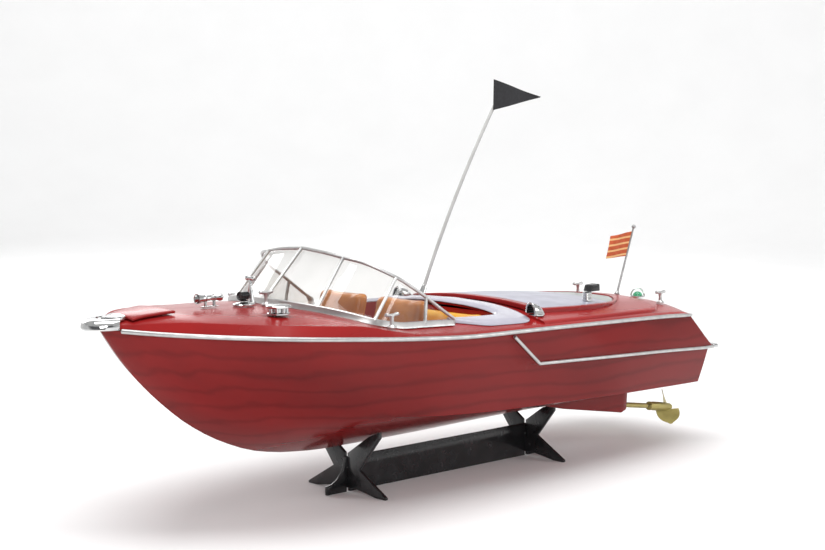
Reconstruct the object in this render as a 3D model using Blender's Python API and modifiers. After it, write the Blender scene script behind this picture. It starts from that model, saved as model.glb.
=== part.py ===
"""A radio controlled model of a classic mahogany runabout, on its display stand.

Metres. +X is the bow, +Y is port and +Z is up. The origin is on the ground, under the
middle of the boat's length and beam. The hull is a loft between sections: every section
is worked out from six hull lines (keel, chine, sheer and their breadths).
"""

import bmesh
import bpy
import math
import numpy as np
from mathutils import Matrix, Vector

# ---------------------------------------------------------------- driving dimensions
BOW_X = 0.312             # top of the stem
TAIL_X = -0.325           # tip of the stern platform
HALF_BEAM = 0.1055        # hull at the rub rail, without the rail
FULL_BEAM_X = 0.10        # where the hull is widest
GAP = 0.0003              # clearance between neighbouring parts
DECK_SEAM = 0.0015        # height of the deck's lower edge over the hull's rim
HULL_WALL = 0.002
DECK_WALL = 0.0015

KEEL = ((-0.303, 0.0445), (-0.153, 0.042), (0.04, 0.039), (0.096, 0.039), (0.137, 0.0415),
        (0.17, 0.047), (0.201, 0.058), (0.231, 0.074), (0.26, 0.096), (0.288, 0.1235),
        (BOW_X, 0.1555))
SHEER = ((-0.303, 0.1195), (-0.228, 0.1245), (-0.123, 0.129), (-0.033, 0.1322), (0.034, 0.134),
         (0.095, 0.138), (0.167, 0.144), (0.227, 0.1485), (0.287, 0.153), (BOW_X, 0.1555))
CHINE_BREADTH = ((-0.303, 0.93), (-0.175, 0.95), (-0.09, 0.885), (-0.019, 0.835), (0.057, 0.81),
                 (0.111, 0.71), (0.162, 0.56), (0.22, 0.48), (BOW_X, 0.45))
CHINE_HEIGHT = ((-0.303, 0.155), (-0.175, 0.23), (-0.09, 0.265), (-0.019, 0.29), (0.057, 0.335),
                (0.111, 0.36), (0.162, 0.34), (BOW_X, 0.32))
DECK_LIP = ((-0.303, 0.003), (0.09, 0.003), (0.115, 0.0055), (0.15, 0.0095), (0.262, 0.0095),
            (0.285, 0.0075), (0.3, 0.0045), (BOW_X, 0.0035))
DECK_CROWN = ((-0.303, 0.0055), (-0.22, 0.009), (-0.1, 0.0115), (-0.03, 0.0115), (0.04, 0.011),
              (0.1, 0.009), (0.15, 0.0082), (0.25, 0.0075), (BOW_X, 0.001))
TOE_LIP = ((0.16, 0.0), (0.21, 0.0015), (0.265, 0.003), (0.3, 0.0006), (BOW_X, 0.0))
BILGE_FAIR = (0.09, 0.2)  # the hard chine fades into a round bilge between these

# The stern and the front of the side panel are raked: x at the chine, moulding and rail.
TRANSOM = (-0.303, -0.316, -0.278)
PANEL_BACK = (-0.06, -0.06, -0.045)
PANEL_EDGE = (-0.047, -0.047, -0.009)
PANEL_START = (-0.034, -0.034, -0.003)
PANEL_STEP = 0.004        # how far the side panel stands out at the lower moulding
STEP_FRACTION = 0.02      # the step under the moulding, as a share of the side's height
MOULDING = ((-0.303, 0.52), (-0.047, 0.575))

RAIL_RADIUS = 0.0017
MOULDING_RADIUS = 0.0014
STERN_BULGE = 0.011       # how far the deck's aft edge bows out at the centreline

SHAFT_Y = 0.04            # the twin shafts' distance from the centreline
SHAFT_X0 = -0.23          # the shaft axis passes here, at the skeg's heel
SHAFT_Z0 = 0.0395
SHAFT_SLOPE = 0.15
SHAFT_RADIUS = 0.0015
TUBE_RADIUS = 0.0024
SKEG_HALF = 0.004

STAND_X = (0.074, -0.14)
STAND_PLATE = 0.003
WAIST_Z = 0.02

COCKPIT = (-0.034, 0.112, 0.071)     # opening in the deck: aft end, fore end, half width
HATCH = (-0.236, -0.072)             # the engine hatch's aft tip and front edge
LAMP = (-0.158, 0.056)    # the lamp that stands on the sun pad
PAD_RISE = 0.0013         # how far the front sun pad stands over the hatch
AFT_PAD_RISE = 0.001
BAY = (-0.19, -0.078, 0.052)         # opening under the hatch
FLOOR_Z = 0.1
ANTENNA_FOOT = Vector((-0.0928, -0.0836, 0.1447))
ANTENNA_BEND = Vector((-0.1289, -0.0836, 0.2259))
ANTENNA_TIP = Vector((-0.1831, -0.0836, 0.3074))
ANTENNA_RADIUS = 0.0016
POLE_FOOT = Vector((-0.265, 0.0, 0.1325))
POLE_TIP = Vector((-0.2897, 0.0, 0.1975))

# ---------------------------------------------------------------- scene
for old in list(bpy.data.objects):
    bpy.data.objects.remove(old)
BOAT = bpy.data.collections.new("rc_boat")
CUTTERS = bpy.data.collections.new("cutters")
bpy.context.scene.collection.children.link(BOAT)
bpy.context.scene.collection.children.link(CUTTERS)

PALETTE = {  # colour, roughness, metallic
    "mahogany": ((0.30, 0.02, 0.022), 0.15, 0.0),
    "deck_red": ((0.42, 0.03, 0.03), 0.15, 0.0),
    "chrome": ((0.75, 0.75, 0.74), 0.15, 1.0),
    "clear": ((0.85, 0.88, 0.88), 0.05, 0.0),
    "tan": ((0.72, 0.33, 0.08), 0.5, 0.0),
    "yellow": ((0.85, 0.45, 0.04), 0.5, 0.0),
    "white": ((0.83, 0.82, 0.9), 0.35, 0.0),
    "black": ((0.015, 0.015, 0.016), 0.2, 0.0),
    "brass": ((0.5, 0.4, 0.15), 0.35, 1.0),
    "steel": ((0.5, 0.5, 0.52), 0.3, 1.0),
    "green": ((0.3, 0.6, 0.4), 0.1, 0.0),
    "flag_red": ((0.75, 0.12, 0.03), 0.7, 0.0),
    "board": ((0.03, 0.25, 0.1), 0.5, 0.0),
    "battery": ((0.03, 0.12, 0.4), 0.4, 0.0),
}


def material(name):
    """The named Principled material, made once."""
    found = bpy.data.materials.get(name)
    if found:
        return found
    colour, roughness, metallic = PALETTE[name]
    made = bpy.data.materials.new(name)
    made.use_nodes = True
    shader = made.node_tree.nodes["Principled BSDF"]
    shader.inputs["Base Color"].default_value = (*colour, 1.0)
    shader.inputs["Roughness"].default_value = roughness
    shader.inputs["Metallic"].default_value = metallic
    return made


# ---------------------------------------------------------------- building helpers
def place(name, data, finish, home=BOAT):
    """Put a mesh or curve in the scene under its part name."""
    made = bpy.data.objects.new(name, data)
    data.name = name
    if finish:
        data.materials.append(material(finish))
    home.objects.link(made)
    return made


def finish_mesh(name, bm, colour, sharp=35.0, home=BOAT):
    """Turn a bmesh into an object with smooth round faces and outward normals."""
    bmesh.ops.recalc_face_normals(bm, faces=bm.faces)
    mesh = bpy.data.meshes.new(name)
    bm.to_mesh(mesh)
    bm.free()
    mesh.shade_smooth()
    mesh.set_sharp_from_angle(angle=math.radians(sharp))
    return place(name, mesh, colour, home)


def evaluated_mesh(item):
    """A copy of an object's mesh with its modifiers applied."""
    graph = bpy.context.evaluated_depsgraph_get()
    return bpy.data.meshes.new_from_object(item.evaluated_get(graph))


def apply_modifiers(item):
    mesh = evaluated_mesh(item)
    item.modifiers.clear()
    item.data = mesh
    return item


def boolean(item, other, operation):
    """Cut or join with another object, which becomes a hidden cutter."""
    step = item.modifiers.new(operation.lower(), "BOOLEAN")
    step.operation = operation
    step.solver = "EXACT"
    step.object = other
    other.hide_render = True
    other.display_type = "WIRE"
    return item


def joined(name, pieces, colour):
    """One solid from overlapping pieces."""
    body = pieces[0]
    for extra in pieces[1:]:
        boolean(body, extra, "UNION")
    apply_modifiers(body)
    for extra in pieces[1:]:
        bpy.data.objects.remove(extra)
    body.name = name
    body.data.name = name
    body.data.materials.clear()
    body.data.materials.append(material(colour))
    body.data.shade_smooth()
    body.data.set_sharp_from_angle(angle=math.radians(35.0))
    return body


def box(name, low, high, colour, bevel=0.0, home=BOAT):
    """A box between two corners, with rounded edges if asked."""
    bm = bmesh.new()
    bmesh.ops.create_cube(bm, size=1.0)
    size = Vector(high) - Vector(low)
    middle = (Vector(high) + Vector(low)) / 2
    bmesh.ops.scale(bm, vec=size, verts=bm.verts)
    bmesh.ops.translate(bm, vec=middle, verts=bm.verts)
    if bevel:
        bmesh.ops.bevel(bm, geom=bm.edges[:], offset=bevel, segments=2, profile=0.5,
                        affect="EDGES")
    return finish_mesh(name, bm, colour, home=home)


def rod(name, start, end, radius, colour, tip=None, sides=16, home=BOAT):
    """A cylinder or cone from one point to another."""
    start, end = Vector(start), Vector(end)
    bm = bmesh.new()
    bmesh.ops.create_cone(bm, cap_ends=True, segments=sides, radius1=radius,
                          radius2=radius if tip is None else tip, depth=(end - start).length)
    turn = (end - start).to_track_quat("Z", "Y").to_matrix().to_4x4()
    bmesh.ops.transform(bm, matrix=Matrix.Translation((start + end) / 2) @ turn, verts=bm.verts)
    return finish_mesh(name, bm, colour, home=home)


def ball(name, centre, radii, colour, rings=8, sides=16, home=BOAT):
    """A sphere, stretched by a radius for each axis."""
    bm = bmesh.new()
    bmesh.ops.create_uvsphere(bm, u_segments=sides, v_segments=rings, radius=1.0)
    bmesh.ops.scale(bm, vec=Vector(radii), verts=bm.verts)
    bmesh.ops.translate(bm, vec=Vector(centre), verts=bm.verts)
    return finish_mesh(name, bm, colour, home=home)


def turned(name, centre, profile, colour, sides=24, home=BOAT):
    """A turned shape: (radius, height) points from the top down its outer side."""
    bm = bmesh.new()
    rings = []
    for radius, height in profile:
        ring = []
        for k in range(sides):
            a = 2 * math.pi * k / sides
            spot = Vector((radius * math.cos(a), radius * math.sin(a), height))
            ring.append(bm.verts.new(spot + Vector(centre)))
        rings.append(ring)
    for upper, lower in zip(rings, rings[1:]):
        for k in range(sides):
            bm.faces.new((upper[k], lower[k], lower[(k + 1) % sides], upper[(k + 1) % sides]))
    bm.faces.new(rings[0])
    bm.faces.new(list(reversed(rings[-1])))
    return finish_mesh(name, bm, colour, home=home)


def plate(name, outline, thickness, colour, to_world, home=BOAT):
    """A flat outline, thickened about its own plane, then placed."""
    bm = bmesh.new()
    half = thickness / 2
    low = [bm.verts.new((u, v, -half)) for u, v in outline]
    high = [bm.verts.new((u, v, half)) for u, v in outline]
    bm.faces.new(list(reversed(low)))
    bm.faces.new(high)
    for k in range(len(outline)):
        n = (k + 1) % len(outline)
        bm.faces.new((low[k], low[n], high[n], high[k]))
    bmesh.ops.transform(bm, matrix=to_world, verts=bm.verts)
    bmesh.ops.triangulate(bm, faces=[f for f in bm.faces if len(f.verts) > 4])
    return finish_mesh(name, bm, colour, home=home)


def sweep(name, path, radius, colour, sides=8, home=BOAT):
    """A round bar along a path of points, with flat ends."""
    points = [Vector(p) for p in path]
    bm = bmesh.new()
    rings = []
    for k, spot in enumerate(points):
        ahead = points[min(k + 1, len(points) - 1)] - points[max(k - 1, 0)]
        forward = ahead.normalized()
        across = forward.cross(Vector((0, 0, 1)))
        if across.length < 0.1:
            across = forward.cross(Vector((0, 1, 0)))
        across.normalize()
        up = across.cross(forward)
        ring = []
        for s in range(sides):
            a = 2 * math.pi * (s + 0.5) / sides
            ring.append(bm.verts.new(spot + radius * (math.cos(a) * across + math.sin(a) * up)))
        rings.append(ring)
    for one, two in zip(rings, rings[1:]):
        for s in range(sides):
            n = (s + 1) % sides
            bm.faces.new((one[s], one[n], two[n], two[s]))
    bm.faces.new(rings[0])
    bm.faces.new(rings[-1])
    return finish_mesh(name, bm, colour, home=home)


def slab(name, top, bottom, colour):
    """A closed slab between two grids of points with the same rows and columns."""
    bm = bmesh.new()
    upper = [[bm.verts.new(p) for p in row] for row in top]
    lower = [[bm.verts.new(p) for p in row] for row in bottom]
    rows, cols = len(top), len(top[0])
    for grid in (upper, lower):
        for i in range(rows - 1):
            for j in range(cols - 1):
                bm.faces.new((grid[i][j], grid[i + 1][j], grid[i + 1][j + 1], grid[i][j + 1]))
    for i in range(rows - 1):
        for j in (0, cols - 1):
            bm.faces.new((upper[i][j], upper[i + 1][j], lower[i + 1][j], lower[i][j]))
    for j in range(cols - 1):
        for i in (0, rows - 1):
            bm.faces.new((upper[i][j], upper[i][j + 1], lower[i][j + 1], lower[i][j]))
    bmesh.ops.remove_doubles(bm, verts=bm.verts, dist=0.00002)
    return finish_mesh(name, bm, colour)


# ---------------------------------------------------------------- hull lines
def smooth_line(points):
    """A smooth curve through (x, value) points that never overshoots them."""
    xs, vs = np.array(points, float).T
    rise = np.diff(vs) / np.diff(xs)
    slope = np.zeros(len(xs))
    slope[0], slope[-1] = rise[0], rise[-1]
    for k in range(1, len(xs) - 1):
        if rise[k - 1] * rise[k] > 0:
            slope[k] = 2 * rise[k - 1] * rise[k] / (rise[k - 1] + rise[k])

    def value(x):
        x = min(max(x, xs[0]), xs[-1])
        k = min(max(int(np.searchsorted(xs, x)) - 1, 0), len(xs) - 2)
        width = xs[k + 1] - xs[k]
        t = (x - xs[k]) / width
        a = (1 + 2 * t) * (1 - t) ** 2
        b = t * t * (3 - 2 * t)
        return float(a * vs[k] + b * vs[k + 1] + width * t * (1 - t) *
                     ((1 - t) * slope[k] - t * slope[k + 1]))
    return value


keel_z = smooth_line(KEEL)
sheer_z = smooth_line(SHEER)
chine_breadth = smooth_line(CHINE_BREADTH)
chine_height = smooth_line(CHINE_HEIGHT)
deck_lip = smooth_line(DECK_LIP)
deck_crown = smooth_line(DECK_CROWN)
toe_lip = smooth_line(TOE_LIP)
moulding_share = smooth_line(MOULDING)


def smoothstep(low, high, x):
    t = min(max((x - low) / (high - low), 0.0), 1.0)
    return t * t * (3 - 2 * t)


def half_beam(x):
    """The hull's half breadth at the rub rail."""
    if x > FULL_BEAM_X:
        share = min((x - FULL_BEAM_X) / (BOW_X - FULL_BEAM_X), 1.0)
        return HALF_BEAM * (1 - share ** 2.8) ** 0.9
    return HALF_BEAM - 0.032 * ((FULL_BEAM_X - x) / 0.4) ** 1.8


def hull_section(x):
    """Keel, chine and rail points of one section as (y, z), and its two curve handles."""
    keel = np.array((0.0, keel_z(x)))
    rail = np.array((half_beam(x), sheer_z(x)))
    chine = np.array((rail[0] * chine_breadth(x),
                      keel[1] + (rail[1] - keel[1]) * chine_height(x)))
    chord = rail - keel
    along = chord / max(np.linalg.norm(chord), 1e-9)
    fair = smoothstep(*BILGE_FAIR, x)
    hard_low = (keel + chine) / 2 + np.array((0.0, -0.0008))
    hard_side = (chine + rail) / 2 + np.array((0.0025, 0.0))
    soft_low = chine - along * np.linalg.norm(chine - keel) * 0.45
    soft_side = chine + along * np.linalg.norm(rail - chine) * 0.45
    low = hard_low + (soft_low - hard_low) * fair
    side = hard_side + (soft_side - hard_side) * fair
    return keel, low, chine, side, rail


def bend(one, handle, two, t):
    return (1 - t) ** 2 * one + 2 * t * (1 - t) * handle + t * t * two


def bottom_point(x, share):
    """(y, z) on the hull's bottom, share 0 at the keel and 1 at the chine."""
    keel, low, chine, _, _ = hull_section(x)
    return bend(keel, low, chine, share)


def side_point(x, share):
    """(y, z) on the hull's side, share 0 at the chine height and 1 at the rail's."""
    _, _, chine, side, rail = hull_section(x)
    a = chine[1] - 2 * side[1] + rail[1]
    b = 2 * (side[1] - chine[1])
    c = -share * (rail[1] - chine[1])
    if abs(a) < 1e-7:
        t = share
    else:
        t = (-b + math.sqrt(max(b * b - 4 * a * c, 0.0))) / (2 * a)
    return bend(chine, side, rail, min(max(t, 0.0), 1.0))


def bottom_z(x, y):
    """Height of the hull's bottom at a distance from the centreline."""
    low, high = 0.0, 1.0
    for _ in range(30):
        middle = (low + high) / 2
        if bottom_point(x, middle)[0] < abs(y):
            low = middle
        else:
            high = middle
    return float(bottom_point(x, low)[1])


def side_y(x, z):
    """Half breadth of the hull's side at a height."""
    _, _, chine, _, rail = hull_section(x)
    return float(side_point(x, (z - chine[1]) / (rail[1] - chine[1]))[0])


def deck_edge(x):
    """(y, z) of the deck's outer edge, above and a little inside the rub rail."""
    lip = deck_lip(x)
    return max(half_beam(x) - 0.6 * lip - 0.0005, 0.0), sheer_z(x) + lip


def stern_bow(x, y):
    """How far aft the deck's sections bow out at y, near the stern."""
    return STERN_BULGE * (1 - (y / half_beam(x)) ** 2) * smoothstep(-0.2, -0.27, x)


def deck_z(x, y):
    """Height of the deck's surface."""
    return section_deck_z(min(x + stern_bow(x, y), BOW_X), y)


def section_deck_z(x, y):
    """Height of the deck in the section that meets the rail at x."""
    edge, height = deck_edge(x)
    share = min(abs(y) / max(edge, 1e-4), 1.0)
    rounding = 1 - share ** 2.2
    return height - toe_lip(x) * smoothstep(1.0, 0.93, share) + deck_crown(x) * rounding


def raked_x(station, share):
    """x of a raked station at a share of the side's height; below the chine it is plumb."""
    low, middle, top = station
    split = moulding_share(low)
    if share <= split:
        return low + (middle - low) * share / split
    return middle + (top - middle) * (share - split) / (1 - split)


def stations(pairs):
    """Raked stations between key ones: each pair is a station and the steps to the next."""
    made = []
    for (start, steps), (end, _) in zip(pairs, pairs[1:]):
        for k in range(steps):
            t = k / steps
            made.append(tuple(a + (b - a) * t for a, b in zip(start, end)))
    made.append(pairs[-1][0])
    return made


def bow_stations(start, count):
    """Plumb stations from start to the stem, closer together towards the stem."""
    made = []
    for k in range(1, count):
        x = start + (BOW_X - start) * math.sin(math.pi / 2 * k / count)
        made.append((x, x, x))
    return made


def hull_rings():
    """Port side points, keel to rail, one list per station from the stern to the bow."""
    keys = [(TRANSOM, 4), ((-0.24, -0.24, -0.24), 7), (PANEL_BACK, 1), (PANEL_EDGE, 1),
            (PANEL_START, 3), ((0.03, 0.03, 0.03), 0)]
    rows = stations(keys)
    proud = [1.0 if row[1] < PANEL_START[1] - 1e-6 else 0.0 for row in rows]
    bow = bow_stations(0.03, 14)
    rows += bow
    proud += [0.0] * len(bow)
    rings = []
    for row, amount in zip(rows, proud):
        ring = []
        for share in (0.0, 0.35, 0.7, 1.0):
            y, z = bottom_point(row[0], share)
            ring.append((row[0], y, z))
        split = moulding_share(row[0])
        upper = [split + (1 - split) * t for t in (0.0, 0.35, 0.7, 1.0)]
        for share in [0.22, 0.44 - STEP_FRACTION, split - STEP_FRACTION] + upper:
            x = raked_x(row, share)
            y, z = side_point(x, share)
            if share >= split:
                y += amount * PANEL_STEP * (1 - share) / (1 - split)
            ring.append((x, y, z))
        rings.append(ring)
    return rings


# ---------------------------------------------------------------- hull
def shaft_point(x, side):
    """A point on a propeller shaft's axis; side is 1 for port and -1 for starboard."""
    return Vector((x, side * SHAFT_Y, SHAFT_Z0 + SHAFT_SLOPE * (x - SHAFT_X0)))


def hull_solid(name, rings, tip, material_name, home):
    """A closed solid through port half rings, mirrored, with a flat lid and a bow tip."""
    bm = bmesh.new()
    port = [[bm.verts.new(p) for p in ring] for ring in rings]
    starboard = [[v if i == 0 else bm.verts.new((v.co.x, -v.co.y, v.co.z))
                  for i, v in enumerate(ring)] for ring in port]
    stem = bm.verts.new(tip)
    for half in (port, starboard):
        for one, two in zip(half, half[1:]):
            for i in range(len(one) - 1):
                bm.faces.new((one[i], two[i], two[i + 1], one[i + 1]))
        for i in range(len(half[-1]) - 1):
            bm.faces.new((half[-1][i], stem, half[-1][i + 1]))
    levels = []
    for i, v in enumerate(port[0]):
        level = [v]
        if i:
            for share in (0.66, 0.33, 0.0, -0.33, -0.66):
                bow = STERN_BULGE * (1 - share ** 2) * smoothstep(0.09, 0.119, v.co.z)
                level.append(bm.verts.new((v.co.x - bow, share * v.co.y, v.co.z)))
            level.append(starboard[0][i])
        levels.append(level)
    for one, two in zip(levels, levels[1:]):
        for k in range(len(two) - 1):
            corners = [one[min(k, len(one) - 1)], one[min(k + 1, len(one) - 1)],
                       two[k + 1], two[k]]
            bm.faces.new(list(dict.fromkeys(corners)))
    bm.faces.new(levels[-1] + [starboard[1][-1], port[1][-1]])
    for k in range(1, len(port) - 1):
        bm.faces.new((port[k][-1], port[k + 1][-1], starboard[k + 1][-1], starboard[k][-1]))
    bm.faces.new((port[-1][-1], stem, starboard[-1][-1]))
    bmesh.ops.recalc_face_normals(bm, faces=bm.faces)
    return finish_mesh(name, bm, material_name, home=home)


def inside_ring(ring, first):
    """The ring drawn in by about the wall's thickness, its top lifted clear of the rail."""
    top_y, top_z = ring[-1][1:]
    narrow = 1 - 1.2 * HULL_WALL / top_y
    shallow = 1 - 1.4 * HULL_WALL / (top_z - ring[0][2])
    moved = [(x + 1.5 * HULL_WALL * first, y * narrow, top_z + (z - top_z) * shallow)
             for x, y, z in ring]
    x, y, z = moved[-1]
    return moved + [(x, y, z + 0.006)]


def make_hull():
    """The thin hull moulding, open at the top, with a skeg around each stern tube."""
    rings = hull_rings()
    stem = (BOW_X, 0.0, sheer_z(BOW_X))
    outer = hull_solid("hull_shell", rings, stem, "mahogany", BOAT)
    inner = [inside_ring(ring, k == 0) for k, ring in enumerate(rings)
             if ring[-1][1] > 5 * HULL_WALL]
    x, _, z = inner[-1][-1]
    inner_tip = (x + 0.4 * (BOW_X - x), 0.0, z)
    boolean(outer, hull_solid("hull_inside", inner, inner_tip, None, CUTTERS), "DIFFERENCE")
    for side in (1, -1):
        boolean(outer, make_skeg(side), "UNION")
    for side in (1, -1):
        bore = rod("shaft_bore", shaft_point(-0.06, side), shaft_point(-0.25, side),
                   TUBE_RADIUS + GAP, None, sides=16, home=CUTTERS)
        boolean(outer, bore, "DIFFERENCE")
    return outer


def make_skeg(side):
    """The wedge that carries a stern tube, deeper towards its heel, and its inner boss."""
    outline = [(-0.112, 0.0535), (-0.142, 0.0468), (-0.222, 0.0335), (-0.2285, 0.0355),
               (-0.23, 0.052), (-0.205, 0.0575), (-0.105, 0.0625), (-0.098, 0.0585)]
    stand_up = Matrix.Rotation(math.pi / 2, 4, "X")
    return plate("skeg", outline, 2 * SKEG_HALF, None,
                 Matrix.Translation((0, side * SHAFT_Y, 0)) @ stand_up, home=CUTTERS)


def make_deck():
    """The deck moulding: bevelled edge, toe lip at the bow, crown, and its openings."""
    xs = [TRANSOM[2] + 0.0075, -0.255, -0.235, -0.21, -0.18, -0.15, -0.12, -0.09, -0.06,
          -0.03, 0.0, 0.03, 0.06, 0.085, 0.1, 0.115, 0.13, 0.15, 0.175, 0.2, 0.225, 0.248,
          0.265, 0.278, 0.289, 0.299, 0.306]
    shares = (0.0, 0.25, 0.5, 0.72, 0.9, 0.955, 1.0)
    rows = []
    for x in xs:
        edge, _ = deck_edge(x)
        half = [(share * edge, section_deck_z(x, share * edge)) for share in shares]
        half.append((half_beam(x), sheer_z(x) + DECK_SEAM))
        rows.append([(x - stern_bow(x, y), y, z) for y, z in half])
    flat = sheer_z(TRANSOM[2]) + DECK_SEAM
    tail = [(TRANSOM[2] - stern_bow(TRANSOM[2], y), y, flat) for _, y, _ in rows[0]]
    rows.insert(0, tail)
    bm = bmesh.new()
    port = [[bm.verts.new(p) for p in row] for row in rows]
    board = [[v if i == 0 else bm.verts.new((v.co.x, -v.co.y, v.co.z))
              for i, v in enumerate(row)] for row in port]
    tip = bm.verts.new((BOW_X - 0.0005, 0.0, sheer_z(BOW_X) + DECK_SEAM))
    for half in (port, board):
        for one, two in zip(half, half[1:]):
            for i in range(len(one) - 1):
                bm.faces.new((one[i], two[i], two[i + 1], one[i + 1]))
        for i in range(len(half[-1]) - 1):
            bm.faces.new((half[-1][i], tip, half[-1][i + 1]))
    bmesh.ops.remove_doubles(bm, verts=bm.verts, dist=0.00002)
    bmesh.ops.recalc_face_normals(bm, faces=bm.faces)
    deck = finish_mesh("deck_shell", bm, "deck_red")
    wall = deck.modifiers.new("wall", "SOLIDIFY")
    wall.thickness = DECK_WALL
    wall.offset = -1.0
    wall.use_even_offset = True
    apply_modifiers(deck)
    cuts = [cockpit_prism("cockpit_cut", 0.0, 0.09, 0.18, CUTTERS),
            box("bay_cut", (BAY[0], -BAY[2], 0.09), (BAY[1], BAY[2], 0.18), None, home=CUTTERS),
            rod("pole_cut", pole_point(-0.02), pole_point(0.02), 0.0018, None, home=CUTTERS)]
    for cut in cuts:
        boolean(deck, cut, "DIFFERENCE")
    return deck


def cockpit_outline(inset):
    """The cockpit opening in plan, with rounded corners, drawn in by an inset."""
    aft, fore, half = COCKPIT
    radius = 0.012
    corners = ((fore - inset - radius, half - inset - radius, 0),
               (aft + inset + radius, half - inset - radius, 90),
               (aft + inset + radius, -(half - inset - radius), 180),
               (fore - inset - radius, -(half - inset - radius), 270))
    outline = []
    for x, y, start in corners:
        for k in range(4):
            a = math.radians(start + 30 * k)
            outline.append((x + radius * math.cos(a), y + radius * math.sin(a)))
    return outline


def cockpit_prism(name, inset, low, high, home):
    """A prism over the cockpit's plan."""
    lift = Matrix.Translation((0, 0, (low + high) / 2))
    return plate(name, cockpit_outline(inset), high - low, None, lift, home=home)


def make_tub():
    """The cockpit tub: floor and walls inside the deck opening, open at the top."""
    bm = bmesh.new()
    rings = []
    wall = 0.0015
    for inset, height in ((GAP, None), (GAP, FLOOR_Z - wall), (GAP + wall, FLOOR_Z),
                          (GAP + wall, None)):
        ring = []
        for x, y in cockpit_outline(inset):
            z = deck_z(x, y) + 0.0002 if height is None else height
            ring.append(bm.verts.new((x, y, z)))
        rings.append(ring)
    count = len(rings[0])
    for one, two in zip(rings, rings[1:]):
        if one is rings[1]:
            continue
        for k in range(count):
            n = (k + 1) % count
            bm.faces.new((one[k], one[n], two[n], two[k]))
    for k in range(count):
        n = (k + 1) % count
        bm.faces.new((rings[0][k], rings[0][n], rings[3][n], rings[3][k]))
    bm.faces.new(rings[1])
    bm.faces.new(rings[2])
    return finish_mesh("cockpit_tub", bm, "deck_red")


# ---------------------------------------------------------------- rails and trim
def make_rub_rail(name, side):
    """The bright rail along the joint of hull and deck."""
    path = []
    for k in range(33):
        x = -0.276 + (BOW_X - 0.0095 + 0.276) * math.sin(math.pi / 2 * k / 32)
        ahead = 0.001
        lean = (half_beam(x + ahead) - half_beam(x - ahead)) / (2 * ahead)
        out = Vector((-lean, 1.0)).normalized() * (RAIL_RADIUS + 2 * GAP)
        path.append((x + out.x, side * (half_beam(x) + out.y), sheer_z(x) + 0.0004))
    return sweep(name, path, RAIL_RADIUS, "chrome", sides=6)


def panel_y(x, z):
    """Half breadth of the raised side panel, at or above the lower moulding."""
    _, _, chine, _, rail = hull_section(x)
    share = (z - chine[1]) / (rail[1] - chine[1])
    split = moulding_share(x)
    return side_y(x, z) + PANEL_STEP * max(1 - share, 0.0) / (1 - split)


def moulding_z(x):
    _, _, chine, _, rail = hull_section(x)
    return float(chine[1] + moulding_share(x) * (rail[1] - chine[1]))


def make_side_moulding(name, side):
    """The lower moulding: down from the rub rail at a slant, then aft to the stern."""
    path = []
    top_z = sheer_z(PANEL_EDGE[2])
    corner = Vector((PANEL_EDGE[1], moulding_z(PANEL_EDGE[1])))
    top = Vector((PANEL_EDGE[2], top_z))
    out = MOULDING_RADIUS + 2 * GAP
    for k in range(7):
        spot = top.lerp(corner, 0.12 + 0.88 * k / 6)
        path.append((spot.x, side * (panel_y(spot.x, spot.y) + out), spot.y))
    for k in range(1, 13):
        x = PANEL_EDGE[1] + (-0.312 - PANEL_EDGE[1]) * k / 12
        z = moulding_z(max(x, -0.303))
        path.append((x, side * (panel_y(max(x, -0.303), z) + out), z))
    return sweep(name, path, MOULDING_RADIUS, "chrome", sides=6)


def make_stern_platform():
    """The thin bright ledge across the transom, where its two slopes meet."""
    z = moulding_z(TRANSOM[0])
    half = panel_y(TRANSOM[0], z)
    fore = TRANSOM[1] - 0.0006
    outline = [(fore, half - 0.001), (fore - 0.004, half + 0.0015), (TAIL_X + 0.001, half - 0.002),
               (TAIL_X, half - 0.006)]
    outline += [(x, -y) for x, y in reversed(outline)]
    return plate("stern_platform", outline, 0.0028, "chrome", Matrix.Translation((0, 0, z)))


def make_bow_fittings():
    """The nose cap, the mooring plate and the raised plank behind it."""
    rows = 9
    top, low = [], []
    for k in range(rows):
        a = math.pi * k / (rows - 1) - math.pi / 2
        nose = Vector((0.3055 + 0.0195 * math.cos(a), 0.0165 * math.sin(a)))
        heel = Vector((0.3005 + 0.0125 * math.cos(a), 0.0105 * math.sin(a)))
        base = 0.1618
        top.append([(heel.x, heel.y, base + 0.0016), (nose.x - 0.002, nose.y * 0.92, base + 0.0003),
                    (nose.x, nose.y, base - 0.005)])
        low.append([(heel.x, heel.y, base + 0.0004), (nose.x - 0.002, nose.y * 0.92, base - 0.001),
                    (nose.x - 0.001, nose.y * 0.98, base - 0.0062)])
    slab("bow_cap", top, low, "chrome")
    plate_top, plate_low = deck_patch(((0.3095, 0.0015), (0.306, 0.006), (0.3, 0.009),
                                       (0.2965, 0.0095), (0.2955, 0.008)), 0.0012, 0.0042)
    slab("bow_plate", plate_top, plate_low, "chrome")
    plank_top, plank_low = deck_patch(((0.2945, 0.0165), (0.285, 0.0195), (0.272, 0.0215),
                                       (0.261, 0.023)), 0.0012, 0.0032)
    slab("bow_plank", plank_top, plank_low, "mahogany")


def deck_patch(edge, low, high):
    """Top and bottom grids of a piece that lies on the deck, from its port edge in plan."""
    top, bottom = [], []
    for x, half in edge:
        ys = [half * t for t in (-1.0, -0.6, 0.0, 0.6, 1.0)]
        top.append([(x, y, deck_z(min(x, 0.309), y) + high) for y in ys])
        bottom.append([(x, y, deck_z(min(x, 0.309), y) + low) for y in ys])
    return top, bottom


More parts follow.
